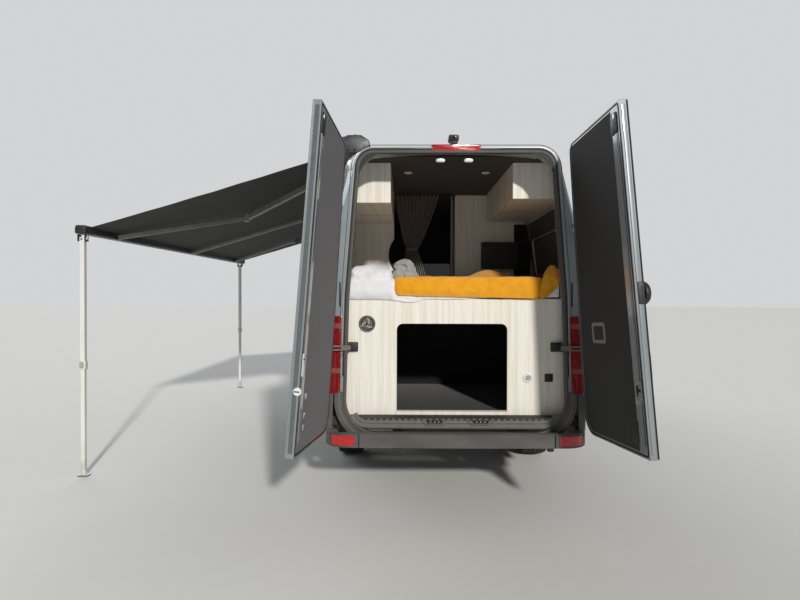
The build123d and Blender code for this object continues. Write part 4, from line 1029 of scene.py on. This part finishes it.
for number, x in enumerate((-0.106, 0.091)):
    rim = oblong(x, 2.4585, 0.066, 0.026, 0.012)
    rear_plate(f"header_lamp_rim_{number}", rim, 0.060, 0.010, bright_metal, 0.003)
    lens = oblong(x, 2.4585, 0.054, 0.017, 0.008)
    rear_plate(f"header_lamp_{number}", lens, 0.0525, 0.004, lamp_white, 0.0015)
downlight = [(0, 0), (0.033, 0), (0.033, 0.004), (0.028, 0.006), (0.022, 0.004), (0, 0.004)]
for number, x in enumerate((-0.327, 0.295)):
    lathe(f"downlight_{number}", downlight, at(x, 0.630, 2.4995), -Z, lamp_white, 32)

# Rear doors, drawn shut with the right door's signs and then swung to where they stand open

bead_outline = rounded(
    [
        (door_free_edge + 0.013, door_low + 0.014, 0.02),
        (door_hinge_edge - 0.014, door_low + 0.014, 0.121),
        (door_hinge_top - 0.014, door_high - 0.014, 0.053),
        (door_free_edge + 0.013, door_high - 0.014, 0.02),
    ],
    10,
)
strip_corners = [(0.085, 0.622, 0.01), (0.204, 0.622, 0.01), (0.204, 1.090, 0.03), (0.180, 1.190, 0.03)]
panel_strip = rounded(strip_corners + [(0.128, 1.215, 0.02), (0.085, 1.215, 0.01)], 4)


def door_bar(name, side, x, y, low, high, profile, facing, finish):
    """An upright bar on a door."""
    path = [at(sides[side] * x, y, z) for z in (low, high)]
    on_door(side, sweep(f"{name}_{side}", path, profile, facing, finish))


def door_plate(name, side, spot, y, thickness, finish, outside=False, bevel=0.002):
    """A plate on a door's inner face or outer skin: spot is (x, z, width, height, radius, steps)."""
    across = X if outside else -X
    flip = 1 if outside else -1
    outline = [(a * sides[side] * flip, b) for a, b in oblong(*spot)]
    on_door(side, slab(name, outline, at(0, y, 0), across, Z, thickness, finish, bevel))


def door_round(name, side, profile, place, axis, finish, steps):
    """A turned piece on a door."""
    on_door(side, lathe(name, profile, place, axis, finish, steps))


for side, sign in sides.items():
    # Bead along the shut face's rim
    path = [at(sign * a, door_inner, b) for a, b in bead_outline]
    on_door(side, sweep(f"door_bead_{side}", path, oval(0.007, 0.0034, -0.001), Y, rubber, closed=True))
    # Band on the free edge, and the rim where the outer skin is folded over
    band_finish, rim_finish = (ribbed, paint) if side == "left" else (paint, rubber)
    band = even((0.012, -0.001), (0.011, 0.0035), (0.006, 0.0045))
    facing = X * -sign
    band_low, band_high = door_low + 0.03, door_high - 0.03
    door_bar("door_edge_band", side, door_free_edge, -0.030, band_low, band_high, band, facing, band_finish)
    rim = [(-0.004, -0.001), (-0.004, 0.003), (0.0, 0.005), (0.004, 0.003), (0.004, -0.001)]
    rim_low, rim_high = door_low + 0.006, door_high - 0.006
    door_bar("door_outer_rim", side, door_free_edge, -0.0535, rim_low, rim_high, rim, facing, rim_finish)
    # Pressed ridge, and the crease between the bead and the lining drawn as a black strip of painted shade
    ridge = even((0.012, -0.001), (0.009, 0.003))
    door_bar("door_ridge", side, 0.072, door_inner, 0.66, 2.46, ridge, Y, paint)
    # The crease is a black strip: painted shade.
    crease = even((0.0035, -0.001), (0.003, 0.001))
    door_bar("door_crease", side, 0.047, door_inner, 0.66, 2.46, crease, Y, rubber)
    # Painted panel strip below the handle's height, where the lining stands back
    strip = [(-a * sign, b) for a, b in panel_strip][::sign]
    on_door(side, slab(f"door_panel_strip_{side}", strip, at(0, -0.0175, 0), -X, Z, 0.0090, strip_paint))

# Left door: round latch on its free edge, striker plate, small catches lower down

latch = [(0, 0), (0.023, 0), (0.023, 0.003), (0.019, 0.007), (0.010, 0.0085), (0, 0.0085)]
door_round("left_latch", "left", latch, at(-door_free_edge, -0.017, 0.945), X, lamp_white, 32)
# A black plate in the latch's slot: painted shade inside the opening.
on_door("left", box("left_latch_slot", at(-0.006, -0.034, 0.941), at(-0.0025, -0.002, 0.948), rubber, 0.001))
door_plate("left_striker_plate", "left", (0.062, 1.085, 0.060, 0.125, 0.008), -0.009, 0.005, lamp_white)
# A black plate in the striker's slit: painted shade inside the opening.
slit = (0.058, 1.115, 0.034, 0.010, 0.004)
door_plate("left_striker_slit", "left", slit, -0.0045, 0.001, rubber, bevel=0.0004)
for number, z in enumerate((0.905, 0.800, 0.732)):
    door_plate(f"left_catch_{number}", "left", (0.162, z, 0.030, 0.034, 0.006), -0.009, 0.007, bright_metal)

# Right door: latch with its plate and screws, dark slot above drawn as painted shade, round lock on the free
# edge

door_plate("right_latch_plate", "right", (0.062, 0.952, 0.058, 0.110, 0.010), -0.009, 0.005, paint)
# A black plate in the latch's mouth: painted shade inside the opening.
door_plate("right_latch_mouth", "right", (0.058, 0.952, 0.034, 0.020, 0.006), -0.0045, 0.002, rubber)
door_plate("right_latch_hook", "right", (0.078, 0.950, 0.012, 0.060, 0.004), -0.0045, 0.005, dark_plastic)
screws = ((0.040, 0.995), (0.084, 0.995), (0.040, 0.910), (0.084, 0.910), (0.062, 0.998))
for number, (x, z) in enumerate(screws):
    screw = stud(0.005, 0.002, 0.003, 0.003)
    door_round(f"right_latch_screw_{number}", "right", screw, at(x, -0.004, z), Y, bright_metal, 12)
# A black plate in the slot: painted shade inside it.
door_plate("right_strip_slot", "right", (0.128, 1.120, 0.026, 0.050, 0.012), -0.009, 0.002, rubber)
door_plate("right_strip_cover", "right", (0.150, 0.720, 0.086, 0.130, 0.008), -0.009, 0.002, dark_plastic)
puck = at(0.053, door_outer, 1.475)
puck_profile = [(0, 0), (0.062, 0), (0.064, 0.006), (0.062, 0.020), (0.054, 0.030), (0.036, 0.034), (0, 0.035)]
door_round("round_lock", "right", puck_profile, puck, -Y, dark_plastic, 40)
on_door("right", box("lock_bridge", at(0.004, -0.060, 1.414), at(0.034, -0.020, 1.536), dark_plastic, 0.004))
door_round("lock_barrel", "right", stud(0.016, 0.038, 0.012, 0.040, 0.034), puck, -Y, bright_metal, 24)

# Right door: grab recess in the lining, a rounded frame round two dark slots, whose black floor is painted shade

grab_x, grab_z = 0.520, 1.262
outer = oblong(grab_x, grab_z, 0.190, 0.130, 0.022, 6)
inner = oblong(grab_x, grab_z, 0.140, 0.086, 0.014, 6)
on_door("right", hoop("grab_frame", outer, inner, at(0, -0.0165, 0), X, Z, -0.010, handle_grey))
# The recess's floor is a black plate: painted shade in the recess.
door_plate("grab_bowl", "right", (grab_x, grab_z, 0.150, 0.096, 0.014), -0.0162, 0.001, rubber, bevel=0.0004)
door_plate("grab_bar", "right", (grab_x, grab_z, 0.030, 0.096, 0.010), -0.0162, 0.008, handle_grey)

# Both doors: top latches inside, hinge leaves with their bolts outside

for side in sides:
    door_plate(f"top_latch_{side}", side, (0.085, 2.425, 0.075, 0.120, 0.015), door_inner, 0.005, dark_plastic)
    bolt = (0.075, 2.462, 0.024, 0.030, 0.006)
    door_plate(f"top_latch_bolt_{side}", side, bolt, -0.004, 0.0035, bright_metal)
for side, sign in sides.items():
    for number, z in enumerate(hinge_heights):
        edge = door_hinge_edge - hinge_lean * (z - door_pivot[2])
        leaf = (edge - 0.052, z, 0.086, 0.052, 0.018)
        door_plate(f"hinge_leaf_{side}_{number}", side, leaf, door_outer, 0.005, paint, outside=True)
        for bolt, shift in enumerate((-0.070, -0.040)):
            place = at(sign * (edge + shift), -0.063, z)
            name = f"hinge_bolt_{side}_{number}_{bolt}"
            door_round(name, side, stud(0.008, 0.003, 0.005, 0.005), place, -Y, paint, 6)

# Outer skin: handle, blank plate with its lamp bar

outer_fittings = (
    ("outer_handle_bowl", "right", (0.085, 1.080, 0.110, 0.200, 0.030), door_outer, 0.004, dark_plastic, 0.002),
    ("outer_handle_grip", "right", (0.070, 1.080, 0.034, 0.160, 0.014), -0.061, 0.022, dark_plastic, 0.006),
    ("rear_plate_base", "left", (0.420, 0.900, 0.540, 0.130, 0.010), door_outer, 0.004, dark_plastic, 0.002),
    ("rear_blank_plate", "left", (0.420, 0.900, 0.520, 0.111, 0.008), -0.062, 0.0015, plate, 0.0006),
    ("plate_lamp_bar", "left", (0.420, 1.000, 0.360, 0.036, 0.014), door_outer, 0.026, dark_plastic, 0.006),
)
for name, side, spot, y, thickness, finish, bevel in outer_fittings:
    door_plate(name, side, spot, y, thickness, finish, outside=True, bevel=bevel)

# Awning: cloth, end caps and grooves, and what rides on its legs and feet

roller_x, roller_z = -0.8803, 2.700
cloth_end_x, cloth_end_z = -2.9757, 2.070


def awning_surface(u, v):
    """The cloth between the case's roller and the front rail, a little slack in its middle."""
    x = roller_x + (cloth_end_x - roller_x) * u
    z = roller_z + (cloth_end_z - roller_z) * u
    y = 0.750 + 4.400 * v
    slack = 4 * u * (1 - u)
    z -= 0.012 * slack * (0.6 + 0.4 * math.sin(math.pi * v))
    z += 0.0025 * math.sin(u * 34 + v * 5) * slack * 0.5
    for middle in (0.074, 0.5, 0.926):
        z += 0.010 * slack * math.exp(-(((v - middle) / 0.05) ** 2))
    z += 0.002 * ripple((x, y, 0), 0.35, 3) * slack
    pull = 0.014 * slack * (1 if v < 0.5 else -1) * math.exp(-((min(v, 1 - v) / 0.05) ** 2))
    return at(x, y + pull, z)


def hem_surface(edge, inner):
    """One end of the cloth turned under, between two places along the van."""

    def surface(u, v):
        place = awning_surface(u, edge + (inner - edge) * v)
        place.z -= 0.0016
        return place

    return surface


cloth = grid_piece("awning_sheet", 90, 150, awning_surface, awning_cloth, 0.0014)
for number, (edge, inner) in enumerate(((0.0, 0.006), (1.0, 0.994))):
    grid_piece(f"awning_hem_{number}", 60, 2, hem_surface(edge, inner), awning_cloth, 0.0016)
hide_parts("awning_fabric")


def end_cap(name, outline, y, inward, thickness, finish, bevel):
    """A cap over an end of the case or the rail: inward is 1 at the rear end and -1 at the front end."""
    spots = [(a * inward, b) for a, b in outline]
    slab(name, spots, at(0, y + thickness * inward, 0), X * inward, Z, thickness, finish, bevel)


case_low = [(-0.884, 2.634, 0.020), (-0.632, 2.640, 0.012)]
case_outline = rounded(case_low + [(-0.632, 2.744, 0.050), (-0.740, 2.788, 0.060), (-0.884, 2.760, 0.050)], 6)
for name, (y, inward) in case_ends.items():
    end_cap(f"case_cap_{name}", case_outline, y, inward, 0.030, anthracite, 0.010)
    for number, (x, z) in enumerate(((-0.850, 2.665), (-0.800, 2.660), (-0.750, 2.662))):
        screw = stud(0.009, 0.004, 0.006, 0.006)
        lathe(f"case_screw_{name}_{number}", screw, at(x, y, z), Y * -inward, rubber, 16)
rail_corners = ((-0.046, -0.034, 0.012), (0.046, -0.034, 0.012), (0.046, 0.034, 0.024), (-0.046, 0.038, 0.026))
rail_outline = rounded([(lead_x + a, lead_z + b, radius) for a, b, radius in rail_corners], 6)
for name, (y, inward) in lead_ends.items():
    end_cap(f"rail_cap_{name}", rail_outline, y, inward, 0.026, dark_plastic, 0.008)
rail_face, groove_z = lead_x - 0.043, lead_z - 0.006
groove_path = [at(rail_face, 0.72, groove_z), at(rail_face, 5.18, groove_z)]
sweep("rail_groove", groove_path, even((0.004, -0.001), (0.004, 0.0015)), -X, rubber)
case_face = -0.8795
groove_path = [at(case_face, 0.58, 2.668), at(case_face, 5.27, 2.668)]
sweep("case_groove", groove_path, even((0.005, -0.001), (0.005, 0.002)), -X, rubber)

hook_profile = even((0.0035, -0.012), (0.0035, 0.012))
pin_profile = [(0, -0.026), (0.009, -0.026), (0.009, 0.026), (0, 0.026)]
socket_profile = [(0.0, 0.008), (0.026, 0.008), (0.024, 0.020), (0.021, 0.052), (0.0, 0.056)]
for name, y in leg_ys.items():
    inward = lead_ends[name][1]
    leg, foot = f"awning_leg_{name}", f"awning_foot_{name}"
    hook = []
    for step in range(15):
        turn = math.radians(-100 + 190 * step / 14)
        x, z = leg_x + 0.010 + 0.034 * math.cos(turn), 2.000 + 0.040 * math.sin(turn)
        hook.append(at(x, y - inward * 0.004, z))
    sweep(f"leg_hook_{name}", hook, hook_profile, Y, leg_white, body=leg)
    place = at(leg_x, y, 0.892)
    slab(f"leg_collar_{name}", oblong(0, 0, 0.052, 0.052, 0.012), place, X, Y, 0.070, leg_white, 0.006, body=leg)
    low = place + Vector((-0.016, -0.031 * inward - 0.005, 0.012))
    high = place + Vector((0.016, -0.031 * inward + 0.005, 0.062))
    box(f"leg_lever_{name}", low, high, grey_cloth, 0.003, body=leg, slot="awning_aluminium")
    lathe(f"leg_pin_{name}", pin_profile, at(leg_x, y, leg_pivot_z), Y, bright_metal, 16, body=leg)
    pad = oblong(0, 0, 0.094, 0.064, 0.014)
    ground = at(leg_x, y, 0.0005)
    slab(f"foot_pad_{name}", pad, ground, X, Y, 0.007, dark_plastic, 0.002, body=foot, slot="rubber_tyre")
    lathe(f"foot_socket_{name}", socket_profile, at(leg_x, y, 0), Z, leg_white, 24, body=foot)

# Pieces that follow the body's skin

skins = {}


def hit(names, start, direction):
    """The first place where a line meets one of some nodes, the skin's direction there, and the distance."""
    nearest = None
    for name in names:
        if name not in skins:
            mesh = nodes[name].data
            faces = [tuple(face.vertices) for face in mesh.polygons]
            skins[name] = BVHTree.FromPolygons([vert.co for vert in mesh.vertices], faces)
        place, normal, index, distance = skins[name].ray_cast(start, direction)
        if place and (nearest is None or distance < nearest[2]):
            nearest = (place, normal if normal.dot(direction) < 0 else -normal, distance)
    return nearest


def near_hit(names, start, direction, across, up):
    """The skin's place and direction there, or beside it where the line falls into a seam."""
    around = ((0, 0), (1, 0), (-1, 0), (0, 1), (0, -1), (1, 1), (-1, 1), (1, -1), (-1, -1))
    for reach in (0.0, 0.004, 0.008, 0.014, 0.025, 0.05):
        for a, b in around:
            shift = across * (a * reach) + up * (b * reach)
            found = hit(names, start + shift, direction)
            if found:
                return found[0] - shift, found[1]
    raise ValueError(f"no skin at {start}")


side_nodes = {side: [f"body_side_{side}", f"cab_door_{side}", f"cab_glass_{side}"] for side in sides}
for names in side_nodes.values():
    names += ["front_wings", "cab_frame", "side_windows", "roof_panel"]
side_nodes["left"].append("sliding_door")
nose_nodes = ("windscreen", "cab_frame", "bonnet", "front_wings", "grille", "headlamps", "front_bumper")


def on_side(side, y, z, names=None):
    """The skin's place and direction at a height and a distance from the rear."""
    return near_hit(names or side_nodes[side], at(sides[side] * 3, y, z), X * -sides[side], Y, Z)


def on_nose(x, z, names=nose_nodes):
    """The skin's place and direction as seen from the front."""
    return near_hit(names, at(x, 9, z), -Y, X, Z)


def locator(side, rise=0.0):
    """Finds places on a side's skin, or a distance off it."""

    def locate(y, z):
        place, facing = on_side(side, y, z)
        return place + facing * rise, facing

    return locate


def skin_plate(name, locate, outline, thickness, finish, bevel=0.002, **options):
    """A plate that follows the skin: its outline's points are located one by one, with a raised middle."""
    middle = Vector((sum(a for a, b in outline), sum(b for a, b in outline))) / len(outline)
    steps = [(1.0, -0.001), (1.0, thickness - bevel), (0.985, thickness - bevel * 0.3)]
    rings = []
    for share, rise in steps + [(0.955, thickness), (0.6, thickness), (0.2, thickness)]:
        ring = []
        for a, b in outline:
            spot = middle + (Vector((a, b)) - middle) * share
            place, facing = locate(spot.x, spot.y)
            ring.append(place + facing * rise)
        rings.append(ring)
    return rings_piece(name, rings, finish, **options)


def dense(outline, spacing):
    """An outline with more points on its long edges, so that it can follow the skin."""
    spots = []
    for spot, after in zip(outline, outline[1:] + outline[:1]):
        parts = max(1, int((after - spot).length / spacing))
        spots += [spot + (after - spot) * k / parts for k in range(parts)]
    return spots


window_rubber = [(-0.008, -0.006), (-0.008, 0.0), (-0.004, 0.003), (0.004, 0.003), (0.009, 0.0), (0.009, -0.006)]
side_window = oblong(3.7675, 1.655, 1.055, 0.610, 0.060, 8)
bed_window = oblong(1.000, 1.825, 0.960, 0.370, 0.060, 8)
cab_corners = ((4.640, 1.340), (5.545, 1.300), (5.545, 1.650), (5.285, 1.965), (4.640, 1.965))
cab_window = rounded([(y, z, 0.040) for y, z in cab_corners], 8)
windows = (
    ("side_right", "right", "van", side_window),
    ("side_left", "left", "van", side_window),
    ("bed", "right", "van", bed_window),
    ("cab_right", "right", "cab_door_right", cab_window),
    ("cab_left", "left", "cab_door_left", cab_window),
)
for name, side, body, outline in windows:
    spots = [on_side(side, y, z) for y, z in dense(outline, 0.08)]
    skin_sweep(f"window_rubber_{name}", spots, window_rubber, rubber, closed=True, body=body)
screen = tapered(0, 1.404, 2.046, 0.784, 0.697, 0.060, 0.060, 8)
spots = [on_nose(x, z) for x, z in dense(screen, 0.06)]
skin_sweep("windscreen_rubber", spots, window_rubber, rubber, closed=True)

# Rub strips with amber marker lamps, low on the sides

strip_profile = even((0.045, -0.004), (0.045, 0.006), (0.036, 0.012))
line_profile = even((0.003, 0.0115), (0.0025, 0.0128))
strip_runs = {
    "left": [(0.400, 1.010, "van"), (2.000, 3.070, "van"), (3.150, 4.390, "van")],
    "right": [(0.400, 1.010, "van"), (2.000, 4.440, "van")],
}
for side, lengths in strip_runs.items():
    for number, (rear, front, body) in enumerate(lengths + [(4.560, 5.330, f"cab_door_{side}")]):
        parts = max(4, int((front - rear) / 0.06))
        spots = [on_side(side, rear + (front - rear) * k / parts, strip_height) for k in range(parts + 1)]
        skin_sweep(f"rub_strip_{side}_{number}", spots, strip_profile, bumper, body=body)
        for line, shift in enumerate((-0.030, 0.030)):
            moved = [(a + shift, b) for a, b in line_profile]
            skin_sweep(f"rub_line_{side}_{number}_{line}", spots, moved, dark_plastic, body=body)
    for number, y in enumerate((0.600, 2.300, 3.700)):
        lamp = oblong(y, strip_height, 0.090, 0.034, 0.012)
        skin_plate(f"marker_lamp_{side}_{number}", locator(side, 0.0115), lamp, 0.006, amber)

# Handles and side indicators, fuel flap, cover in the sliding door's rail

handles = {"right": [("cab", "cab_door_right", 4.690, 1.120)]}
handles["left"] = [("cab", "cab_door_left", 4.690, 1.120), ("slide", "van", 3.230, 1.235)]
for side in sides:
    for name, body, y, z in handles[side]:
        cup = oblong(y, z, 0.200, 0.080, 0.030)
        skin_plate(f"handle_cup_{name}_{side}", locator(side), cup, 0.003, dark_plastic, body=body)
        path = []
        for step in range(13):
            share = step / 12
            place, facing = on_side(side, y - 0.085 + 0.170 * share, z + 0.010)
            path.append((place + facing * (0.006 + 0.022 * math.sin(math.pi * share) ** 0.5), facing))
        skin_sweep(f"handle_grip_{name}_{side}", path, oval(0.014, 0.008), dark_plastic, body=body)
        place, facing = on_side(side, y - 0.060, z - 0.052)
        lock = stud(0.013, 0.003, 0.010, 0.004, -0.002)
        lathe(f"handle_lock_{name}_{side}", lock, place, facing, bright_metal, 20, body=body)
    indicator = oblong(5.900, 0.960, 0.080, 0.036, 0.016)
    skin_plate(f"side_indicator_{side}", locator(side), indicator, 0.009, amber)
skin_plate("fuel_flap", locator("right"), oblong(4.200, 0.985, 0.170, 0.180, 0.030), 0.0025, paint)
flap_path = [on_side("right", y, z) for y, z in oblong(4.200, 0.985, 0.178, 0.188, 0.034, 6)]
skin_sweep("fuel_flap_seam", flap_path, even((0.0025, -0.001), (0.002, 0.0006)), rubber, closed=True)
rail = [on_side("left", 1.77 + 1.31 * k / 24, 1.244, ["body_side_left"]) for k in range(25)]
skin_sweep("slide_rail_cover", rail, even((0.012, -0.002), (0.012, 0.004), (0.009, 0.006)), dark_plastic)

# Mirrors: glass, and a lower wide-angle glass, on the cab doors

for side, sign in sides.items():
    body = f"cab_door_{side}"
    for name, z, height in (("main", 1.620, 0.200), ("wide", 1.445, 0.090)):
        outline = [(-a, b) for a, b in oblong(-sign * mirror_middle, z, 0.156, height, 0.022, 5)]
        slab(f"mirror_{name}_{side}", outline, at(0, 5.331, 0), X, Z, 0.004, mirror_glass, 0.001, body=body)
    rim = [at(a, 5.3315, b) for a, b in oblong(sign * mirror_middle, 1.560, 0.172, 0.350, 0.042, 6)]
    rim_profile = even((0.006, -0.001), (0.005, 0.004))
    sweep(f"mirror_rim_{side}", rim, rim_profile, -Y, dark_plastic, closed=True, body=body)

# Front: wipers, cowl, blank plate, headlamp bowls and fog lamps

blade_profile = [(-0.005, -0.009), (-0.006, 0.004), (0.0, 0.009), (0.006, 0.004), (0.005, -0.009)]
for number, start_x in enumerate((0.640, -0.050)):
    blade = []
    for step in range(21):
        share = step / 20
        place, facing = on_nose(start_x - 0.590 * share, 1.432 + 0.030 * share)
        blade.append((place + facing * 0.010, facing))
    skin_sweep(f"wiper_blade_{number}", blade, blade_profile, rubber)
    pivot, pivot_facing = on_nose(start_x - 0.05, 1.372)
    middle, facing = blade[10]
    arm = []
    for step in range(13):
        share = step / 12
        rise = 0.014 + 0.016 * math.sin(math.pi * share)
        arm.append((pivot + (middle - pivot) * share + facing * rise, facing))
    skin_sweep(f"wiper_arm_{number}", arm, even((0.009, -0.004), (0.008, 0.004)), dark_plastic)
    pivot_profile = stud(0.018, 0.018, 0.013, 0.024, -0.004)
    lathe(f"wiper_pivot_{number}", pivot_profile, pivot, pivot_facing, dark_plastic, 24)
cowl = [on_nose(-0.700 + 1.400 * k / 30, 1.355) for k in range(31)]
skin_sweep("cowl_strip", cowl, even((0.022, -0.004), (0.022, 0.003), (0.016, 0.006)), dark_plastic)

bumper_face = on_nose(0, 0.450, ["front_bumper"])[0].y - origin_y


def before_bumper(rise):
    """Finds places on an upright plane, a distance in front of the front bumper's face."""
    return lambda x, z: (at(x, bumper_face + rise, z), Y)


plate_base = oblong(0, 0.555, 0.540, 0.130, 0.012)
skin_plate("front_plate_base", before_bumper(0.004), plate_base, 0.010, dark_plastic)
blank_plate = oblong(0, 0.555, 0.520, 0.111, 0.008)
skin_plate("front_blank_plate", before_bumper(0.013), blank_plate, 0.003, plate, 0.001)

bowl_back = [(0, -0.030), (0.5, -0.026), (0.9, -0.006), (1, 0.006), (1, 0.010)]
bowl_inside = [(0.94, 0.010), (0.8, -0.002), (0.4, -0.018), (0, -0.020)]
fog_lamp = [(0, -0.004), (0.052, -0.004), (0.056, 0.004), (0.050, 0.009), (0.040, 0.006), (0, 0.010)]
fog_ring = [(0.050, -0.006), (0.066, -0.006), (0.068, 0.004), (0.062, 0.010), (0.052, 0.008)]
for side, sign in sides.items():
    for name, x, z, radius in (("main", 0.560, 0.810, 0.070), ("dip", 0.740, 0.830, 0.074)):
        place, facing = on_nose(sign * x, z, ["headlamps"])
        back = place - facing * 0.020
        bowl = [(radius * share, rise) for share, rise in bowl_back + bowl_inside]
        lathe(f"headlamp_bowl_{name}_{side}", bowl, back, facing, bright_metal, 40, slot="lamp_clear")
    place, facing = on_nose(sign * 0.660, 0.420, ["front_bumper"])
    lathe(f"fog_lamp_{side}", fog_lamp, place, facing, lamp_white, 36)
    lathe(f"fog_ring_{side}", fog_ring, place, facing, dark_plastic, 36)

# Wheels: hub caps

cap_profile = [(0, -0.004), (0.052, -0.004), (0.054, 0.010), (0.046, 0.022), (0.020, 0.027), (0, 0.028)]
for end in ("rear", "front"):
    for side, sign in sides.items():
        rim = f"rim_{end}_{side}"
        low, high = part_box(rim)
        y, z = (low[1] + high[1]) / 2, (low[2] + high[2]) / 2
        face = hit([rim], Vector((at(sign * 3, 0, 0).x, y, z + 0.02)), X * -sign)
        hub = Vector((face[0].x if face else at(sign * 0.90, 0, 0).x, y, z))
        wheel = f"wheel_{end}_{side}"
        lathe(f"hub_cap_{end}_{side}", cap_profile, hub, X * sign, dark_plastic, 40, body=wheel)

# Bed room: dark wall linings and the frames of the drawn blinds, set on the walls' inner faces


def wall_inside(sign, y, z, off):
    """A place on a side wall's inner face, a distance off it; the two walls are alike."""
    place, facing, distance = hit(["body_side_left", "roof_panel"], at(0, y, z), -X)
    place = place + facing * off
    if sign > 0:
        place.x = 2 * origin_x - place.x
    return place


def wall_surface(sign):
    """The part of a side wall beside the bed."""
    return lambda u, v: wall_inside(sign, 0.150 + 1.330 * u, 1.665 + 0.530 * v, 0.006)


blind_profile = [(-0.016, -0.002), (-0.014, 0.014), (0.010, 0.014), (0.014, -0.002)]
for side, sign in sides.items():
    grid_piece(f"wall_lining_{side}", 24, 12, wall_surface(sign), dark_carpet, 0.004)
    blind = [wall_inside(sign, y, z, 0.010) for y, z in oblong(0.970, 1.870, 0.940, 0.360, 0.05, 6)]
    sweep(f"blind_frame_{side}", blind, blind_profile, X * -sign, cab_plastic, closed=True)
    middle = sum(blind, Vector()) / len(blind)
    inner = [place + (middle - place) * 0.06 for place in blind]
    sweep(f"blind_edge_{side}", inner, even((0.004, -0.002), (0.004, 0.008)), X * -sign, board, closed=True)

# Joints in the overhead cabinets: up their inner sides and across their undersides

joint_profile = even((0.0025, -0.001), (0.0020, 0.0008))
for side, sign in sides.items():
    seam = Finish(f"seam_{side}", (52, 46, 38), 0.8, slot="board")
    seam.mottle((38, 34, 28), 0.45, 0.7, 0.4, 0.01, detail=5)
    seam.grain(0.0001, 0.004)
    for number, y in enumerate((0.620, 0.960, 1.290)):
        wall = hit(["overhead_cabinets"], at(0, y, 2.350), X * sign)[0]
        run = [Vector((wall.x, wall.y, z)) for z in (2.212, 2.492)]
        sweep(f"cabinet_joint_{side}_{number}", run, joint_profile, X * -sign, seam)
    underside = hit(["overhead_cabinets"], at(sign * 0.600, 0.960, 1.900), Z)[0]
    run = [at(sign * x, 0.960, underside.z) for x in (0.462, 0.815)]
    sweep(f"cabinet_under_joint_{side}", run, joint_profile, -Z, seam)

# Floor, light and the photograph's camera

floor_mesh = bpy.data.meshes.new("floor")
size = 60
corners = [(-size, -size, 0), (size, -size, 0), (size, size, 0), (-size, size, 0)]
floor_mesh.from_pydata(corners, [], [(0, 1, 2, 3)])
floor = bpy.data.objects.new("floor", floor_mesh)
bpy.context.scene.collection.objects.link(floor)
pale_floor = Finish("pale_floor", (238, 238, 234), 0.9)
pale_floor.mottle((244, 244, 240), 0.3, 0.7, 0.3, 0.5, detail=5)
pale_floor.grain(0.0005, 0.01)
floor_mesh.materials.append(pale_floor.material)
floor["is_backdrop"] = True


def sunlight(name, energy, width, colour, direction):
    """A sun whose disc is as wide as an angle in degrees, and which shines along a direction."""
    data = bpy.data.lights.new(name, "SUN")
    data.energy = energy
    data.angle = math.radians(width)
    data.color = colour
    lamp = bpy.data.objects.new(name, data)
    lamp.rotation_euler = Vector(direction).to_track_quat("-Z", "Y").to_euler()
    bpy.context.scene.collection.objects.link(lamp)


sunlight("sun", 2.5, 3, (1.0, 0.97, 0.92), (-0.262, 0.86, -0.39))
sunlight("fill", 1.25, 50, (0.95, 0.97, 1.0), (0.45, -0.75, -0.50))

world = bpy.data.worlds.new("studio")
world.use_nodes = True
world_nodes, links = world.node_tree.nodes, world.node_tree.links
light_back = world_nodes["Background"]
light_back.inputs["Color"].default_value = (0.90, 0.93, 0.98, 1)
light_back.inputs["Strength"].default_value = 0.225
seen_back = world_nodes.new("ShaderNodeBackground")
seen_back.inputs["Color"].default_value = (0.90, 0.91, 0.92, 1)
seen_back.inputs["Strength"].default_value = 0.72
ray = world_nodes.new("ShaderNodeLightPath")
mix = world_nodes.new("ShaderNodeMixShader")
links.new(ray.outputs["Is Camera Ray"], mix.inputs[0])
links.new(light_back.outputs[0], mix.inputs[1])
links.new(seen_back.outputs[0], mix.inputs[2])
links.new(mix.outputs[0], world_nodes["World Output"].inputs[0])
bpy.context.scene.world = world
bpy.context.scene.view_settings.view_transform = "Standard"

camera_data = bpy.data.cameras.new("camera")
camera_data.sensor_width = 36
camera_data.lens = 24.78
camera_data.clip_end = 200
camera = bpy.data.objects.new("camera", camera_data)
turned = Matrix.Rotation(math.radians(0.47), 4, "Z") @ Matrix.Rotation(math.radians(89.39), 4, "X")
placed = Matrix.Translation(at(-0.3548, -3.8139, 1.5225)) @ turned
camera.matrix_world = placed @ Matrix.Rotation(math.radians(0.11), 4, "Z")
bpy.context.scene.collection.objects.link(camera)
bpy.context.scene.camera = camera

low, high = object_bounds()
